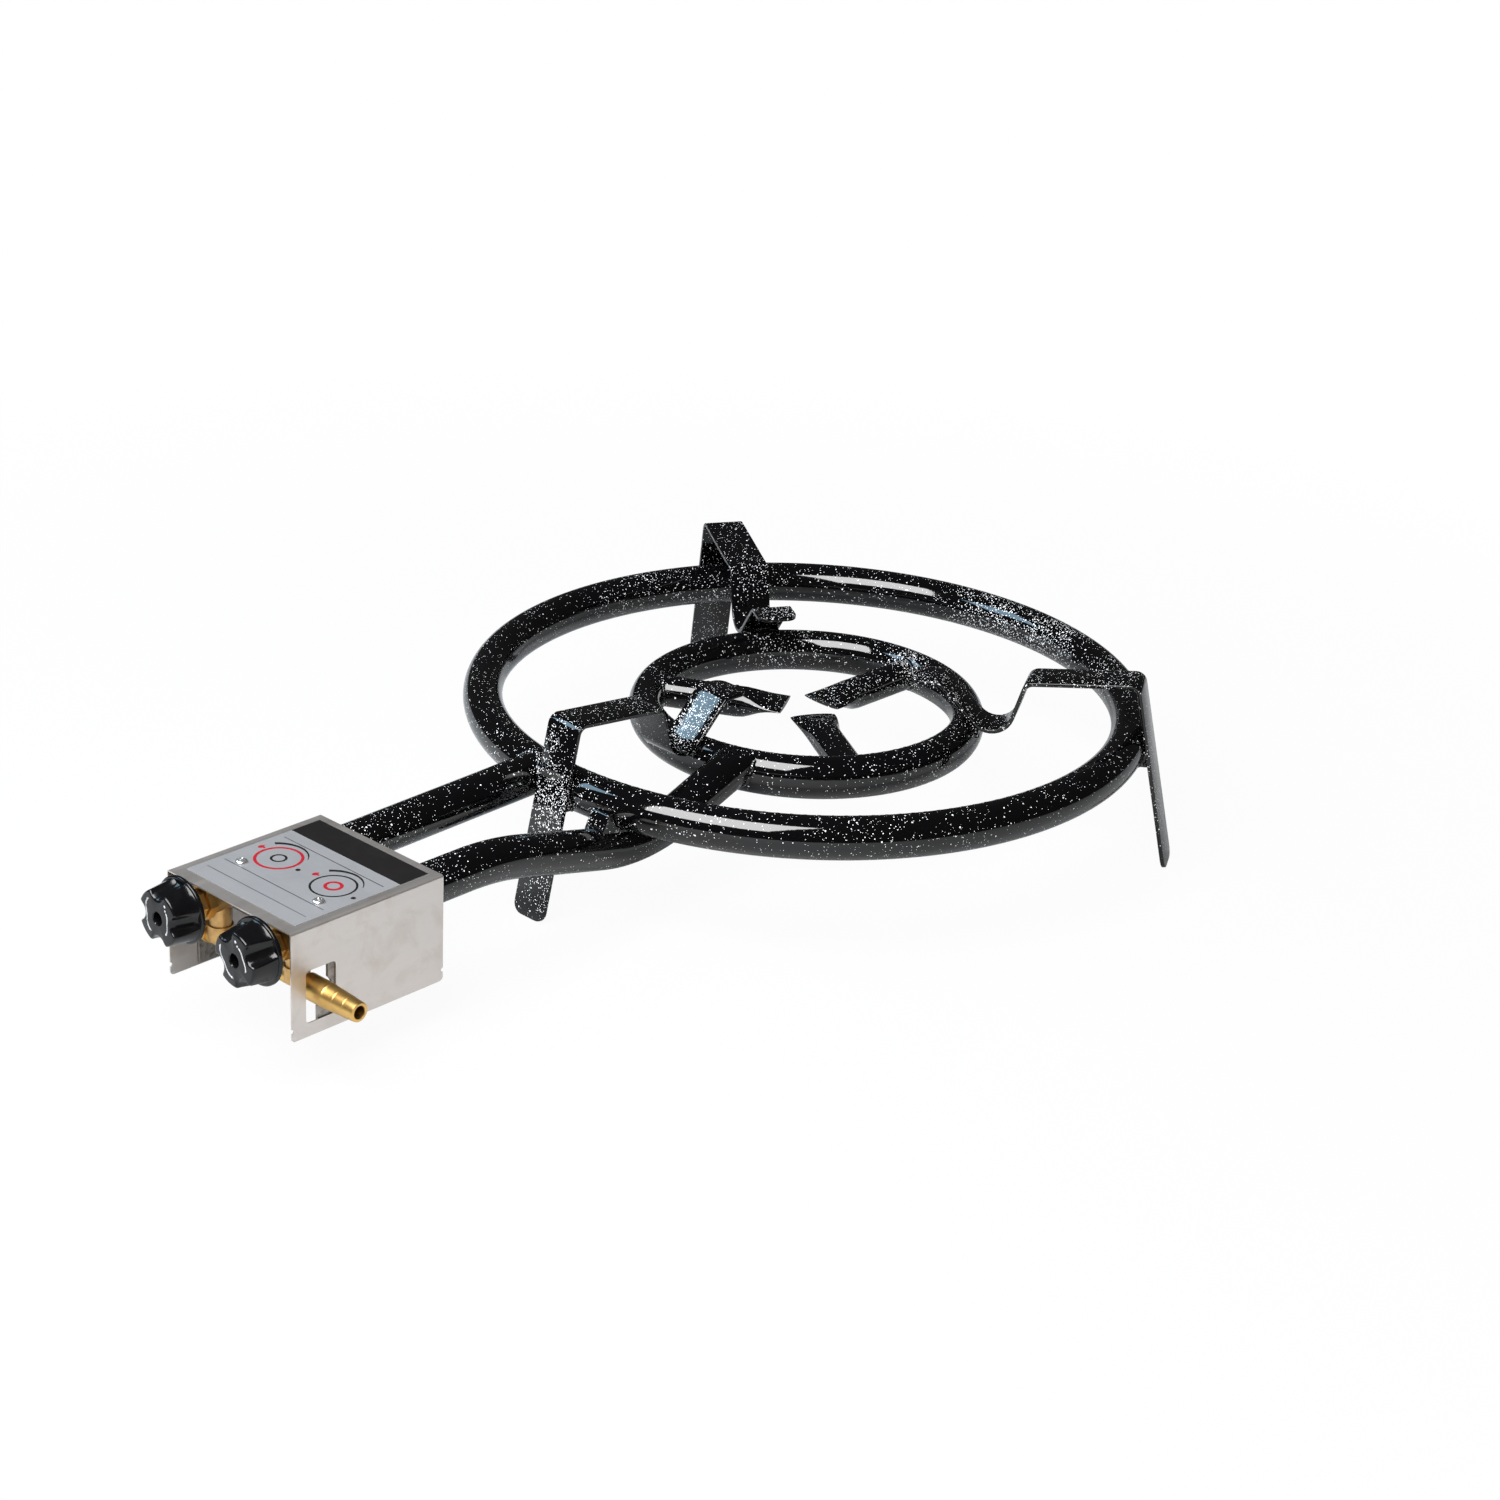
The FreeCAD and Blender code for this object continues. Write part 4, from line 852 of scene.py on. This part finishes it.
# Half the outline of a screw, from the top of its head to its tip: distance from the axis, and height.
screw_outline = (
    (0.0, 0.00225), (0.0003, 0.00225), (0.0006, 0.00225), (0.0009, 0.00225), (0.0012, 0.00224),
    (0.0015, 0.00222), (0.0018, 0.00219), (0.0022, 0.00212), (0.0028, 0.00194), (0.0036, 0.00160),
    (0.0041, 0.00110), (0.0043, 0.00050), (0.0043, 0.0), (0.0020, 0.0), (0.0020, -0.0062),
    (0.0017, -0.0065), (0.0, -0.0065))
screw_y, screw_seat = -0.341, 0.1059
recess_reach, recess_half_width, recess_depth = 0.0021, 0.00036, 0.0007
mesh = bmesh.new()
for x, twist in ((left_tap_x, 0.5), (right_tap_x, 1.1)):
    seat = Vector((x, screw_y, screw_seat))
    verts = [mesh.verts.new(seat + Vector((reach, 0, rise))) for reach, rise in screw_outline]
    edges = [mesh.edges.new(pair) for pair in zip(verts, verts[1:])]
    bmesh.ops.spin(
        mesh, geom=verts + edges, cent=seat, axis=(0, 0, 1), angle=2 * pi, steps=64, use_merge=True)
    for v in mesh.verts:
        arm = Matrix.Rotation(-twist, 3, "Z") @ (v.co - seat)
        on_head = arm.z > recess_reach and arm.xy.length < recess_reach
        if on_head and min(abs(arm.x), abs(arm.y)) < recess_half_width:
            v.co.z -= recess_depth
bmesh.ops.remove_doubles(mesh, verts=mesh.verts, dist=same_place)
bmesh.ops.recalc_face_normals(mesh, faces=mesh.faces)
finish_piece(
    mesh, "pan_head_screws", bright_steel, "burner", "cover_screws", smooth_to=35, slot="fastener_steel")


# The gas fittings are brass: a polished manifold with a hose nozzle and an end cap, turned glands, bonnets,
# plugs and spindles, and cast tap bodies whose skin is duller and browner. Seals are rubber and fibre.
turned_brass = metal(
    "turned_brass", (0.72, 0.46, 0.15), (0.60, 0.37, 0.12), 0.35, (0.36, 0.40), (8, 1, 1), 160, 60, 0.000001)
cast_brass = metal(
    "cast_brass", (0.66, 0.42, 0.17), (0.44, 0.25, 0.09), 0.8, (0.42, 0.55), (1, 1, 1), 900, 120, 0.00004)
seal_rubber = finish(
    "seal_rubber", (0.012, 0.012, 0.012), (0.02, 0.02, 0.02), 0.8, (0.5, 0.7), (1, 1, 1), 900, 200, 0.00003)
seal_fibre = finish(
    "seal_fibre", (0.30, 0.10, 0.05), (0.18, 0.06, 0.03), 0.8, (0.6, 0.8), (1, 1, 1), 1200, 200, 0.00005)
# Half the outline of the nozzle, with two faint barbs: distance along the manifold's axis, and from it.
nozzle_outline = (
    (0.0640, 0.0061), (0.0560, 0.0061), (0.0560, 0.0082), (0.0562, 0.0084), (0.0760, 0.0084),
    (0.0766, 0.0082), (0.0772, 0.0081), (0.0856, 0.00775), (0.0859, 0.0076), (0.0864, 0.0076),
    (0.0946, 0.00725), (0.0949, 0.0071), (0.0954, 0.0071), (0.1034, 0.0066), (0.1038, 0.0063),
    (0.1040, 0.0058), (0.1040, 0.0046), (0.1037, 0.0043), (0.1030, 0.00425), (0.0640, 0.00425))
manifold_axis = Vector((0, -0.3585, 0.0586))
mesh = bmesh.new()
verts = [mesh.verts.new(manifold_axis + Vector((along, 0, reach))) for along, reach in nozzle_outline]
edges = [mesh.edges.new(pair) for pair in zip(verts, verts[1:] + verts[:1])]
bmesh.ops.spin(
    mesh, geom=verts + edges, cent=manifold_axis, axis=(1, 0, 0), angle=2 * pi, steps=64, use_merge=True)
bmesh.ops.recalc_face_normals(mesh, faces=mesh.faces)
finish_piece(mesh, "hose_nozzle_turned", turned_brass, "burner", "hose_nozzle", smooth_to=10, slot="brass")
coats = {
    "manifold": turned_brass, "manifold_cap": turned_brass, "seal_washers": seal_fibre,
    "cover_nuts": plated_steel, "ear_screws": plated_steel}
tap_coats = {
    "_tap_body": cast_brass, "_tap_bonnet": turned_brass, "_gland_nut": turned_brass, "_jet": turned_brass,
    "_tap_plug": turned_brass, "_spindle": turned_brass, "_spindle_seal": seal_rubber,
    "_return_spring": plated_steel, "_knob_bush": plated_steel}
for side in ("left", "right"):
    coats.update({side + part: coat for part, coat in tap_coats.items()})
for node, coat in coats.items():
    nodes[node].material_slots[0].material = coat


# The knobs are moulded in glossy black plastic, with four finger flutes, a rim at the back and a hole through
# the face; raised arcs with arrowheads and round marks show which way each one turns.
knob_plastic = finish(
    "knob_plastic", (0.0030, 0.0030, 0.0034), (0.006, 0.006, 0.007), 0.6, (0.12, 0.20), (1, 1, 1), 500, 60,
    0.00001)
set_shader(knob_plastic, "Specular IOR Level", 0.36)
sign_paint = finish(
    "sign_paint", (0.50, 0.51, 0.53), (0.04, 0.04, 0.045), 0.7, (0.2, 0.3), (1, 1, 1), 500, 260, 0.00001)
knob_face, knob_depth = -0.408, 0.0179
# Rounds of the moulding, from the hole through the face to its back: distance behind the face, and radius;
# for the fluted side the second figure is how far the round lies inside the fluted outline.
knob_hole = [(0.0100, 0.0043), (0.0009, 0.0043), (0.0003, 0.0049)]
knob_side = [
    (0.0003, 0.0018), (0.00042, 0.0012), (0.0007, 0.00062), (0.0012, 0.0002), (0.0018, 0.0), (0.005, 0.0),
    (0.009, 0.0), (0.013, 0.0), (0.0174, 0.0), (knob_depth, -0.0004)]
knob_back = [
    (knob_depth, 0.0215), (0.0181, 0.0221), (0.0187, 0.0225), (0.0202, 0.0225), (0.0205, 0.0222),
    (0.0205, 0.0130), (0.0095, 0.0130), (0.0095, 0.0080), (0.0170, 0.0080), (0.0170, 0.0055),
    (0.0100, 0.0055), (0.0100, 0.0043)]
flute_axis, flute_lean, flute_radius, flute_slope = 0.0204, 0.0056, 0.008, 3
skirt_radius, skirt_growth, skirt_start, flute_edge = 0.0188, 0.0018, 0.0018, 0.0004


def fluted_outline(angle, setback):
    axis = flute_axis + flute_lean * setback / knob_depth
    off = (angle + pi / 4) % (pi / 2) - pi / 4
    side = axis * abs(sin(off))
    flute = axis * cos(off)
    if side > flute_radius:
        flute += flute_slope * (side - flute_radius)
    else:
        flute -= sqrt(flute_radius ** 2 - side ** 2)
    skirt = skirt_radius + skirt_growth * max(0, setback - skirt_start) / (knob_depth - skirt_start)
    return -flute_edge * log(exp(-flute / flute_edge) + exp(-skirt / flute_edge))


sign_middle, sign_half_height, ridge_half_width, ridge_steps = 0.0004, 0.00038, 0.0006, 24


def ridge(mesh, stand, points):
    made = bmesh.ops.create_circle(mesh, segments=8, radius=1)["verts"]
    edges = edges_of(made)
    shape = [v.co.xy.copy() for v in made]
    for k, (angle, reach) in enumerate(points):
        if k:
            made, edges = grow(mesh, edges)
            shape = []
            for v in made:
                local = stand.inverted() @ v.co
                out = (local.xz.length - points[k - 1][1]) / ridge_half_width
                shape.append(Vector((out, (sign_middle - local.y) / sign_half_height)))
        for v, part in zip(made, shape):
            out = reach + ridge_half_width * part.x
            rise = sign_middle - sign_half_height * part.y
            v.co = stand @ Vector((out * cos(angle), rise, out * sin(angle)))


def arc_points(first, last, reaches):
    points = []
    for k in range(ridge_steps + 1):
        share = k / ridge_steps * (len(reaches) - 1)
        low = min(int(share), len(reaches) - 2)
        part = share - low
        part = part * part * (3 - 2 * part)
        angle = first + (last - first) * k / ridge_steps
        points.append((angle, reaches[low] + (reaches[low + 1] - reaches[low]) * part))
    return points


mark_height = 0.00042
arrow_radius, arrow_tip, arrow_length, arrow_flatness = 0.00095, 0.0001, 0.0026, 0.4


def round_mark(mesh, stand, angle, reach, radius):
    place = Vector((reach * cos(angle), mark_height, reach * sin(angle)))
    flat = stand @ Matrix.Translation(place) @ Matrix.Diagonal((1, sign_half_height / radius, 1, 1))
    bmesh.ops.create_uvsphere(mesh, u_segments=14, v_segments=8, radius=radius, matrix=flat)


def arrow_head(mesh, stand, angle, reach, way):
    place = Vector((reach * cos(angle), mark_height, reach * sin(angle)))
    heading = Vector((-sin(angle), 0, cos(angle))) * way
    turn = heading.to_track_quat("Z", "Y").to_matrix().to_4x4()
    flat = stand @ Matrix.Translation(place) @ Matrix.Diagonal((1, arrow_flatness, 1, 1)) @ turn
    bmesh.ops.create_cone(
        mesh, segments=12, radius1=arrow_radius, radius2=arrow_tip, depth=arrow_length, cap_ends=True,
        matrix=flat)


rounds = [(setback, radius, False) for setback, radius in knob_hole]
rounds += [(setback, inset, True) for setback, inset in knob_side]
rounds += [(setback, radius, False) for setback, radius in knob_back]
long_reaches, long_first, long_last = (0.0140, 0.0102, 0.0123), radians(127), radians(237)
short_reaches, short_first, short_last = (0.0112, 0.0098, 0.0116), radians(38), radians(-45)
round_marks = ((radians(55), 0.0136, 0.0011), (radians(45), 0.0115, 0.0008))
for side, x, turn in (("left", left_tap_x, 0.0), ("right", right_tap_x, radians(27))):
    mesh = bmesh.new()
    stand = Matrix.Translation((x, knob_face, supply_height))
    made = bmesh.ops.create_circle(mesh, segments=160, radius=1)["verts"]
    edges = edges_of(made)
    angles = [atan2(v.co.y, v.co.x) for v in made]
    for k, (setback, size, fluted) in enumerate(rounds):
        if k:
            made, edges = grow(mesh, edges)
            spots = [stand.inverted() @ v.co for v in made]
            angles = [atan2(spot.z, spot.x) for spot in spots]
        for v, angle in zip(made, angles):
            reach = fluted_outline(angle - turn, setback) - size if fluted else size
            v.co = stand @ Vector((reach * cos(angle), setback, reach * sin(angle)))
    bmesh.ops.remove_doubles(mesh, verts=mesh.verts, dist=same_place)
    bmesh.ops.recalc_face_normals(mesh, faces=mesh.faces)
    finish_piece(
        mesh, side + "_knob_moulding", knob_plastic, side + "_knob", side + "_knob", slot="knob_plastic")
    signs = bmesh.new()
    first, last = long_first + turn, long_last + turn
    ridge(signs, stand, arc_points(first, last, long_reaches))
    arrow_head(signs, stand, first, long_reaches[0], -1)
    arrow_head(signs, stand, last, long_reaches[-1], 1)
    first, last = short_first + turn, short_last + turn
    ridge(signs, stand, arc_points(first, last, short_reaches))
    arrow_head(signs, stand, last, short_reaches[-1], -1)
    for angle, reach, radius in round_marks:
        round_mark(signs, stand, angle + turn, reach, radius)
    bmesh.ops.recalc_face_normals(signs, faces=signs.faces)
    finish_piece(signs, side + "_knob_signs", sign_paint, side + "_knob", smooth_to=60, slot="knob_plastic")
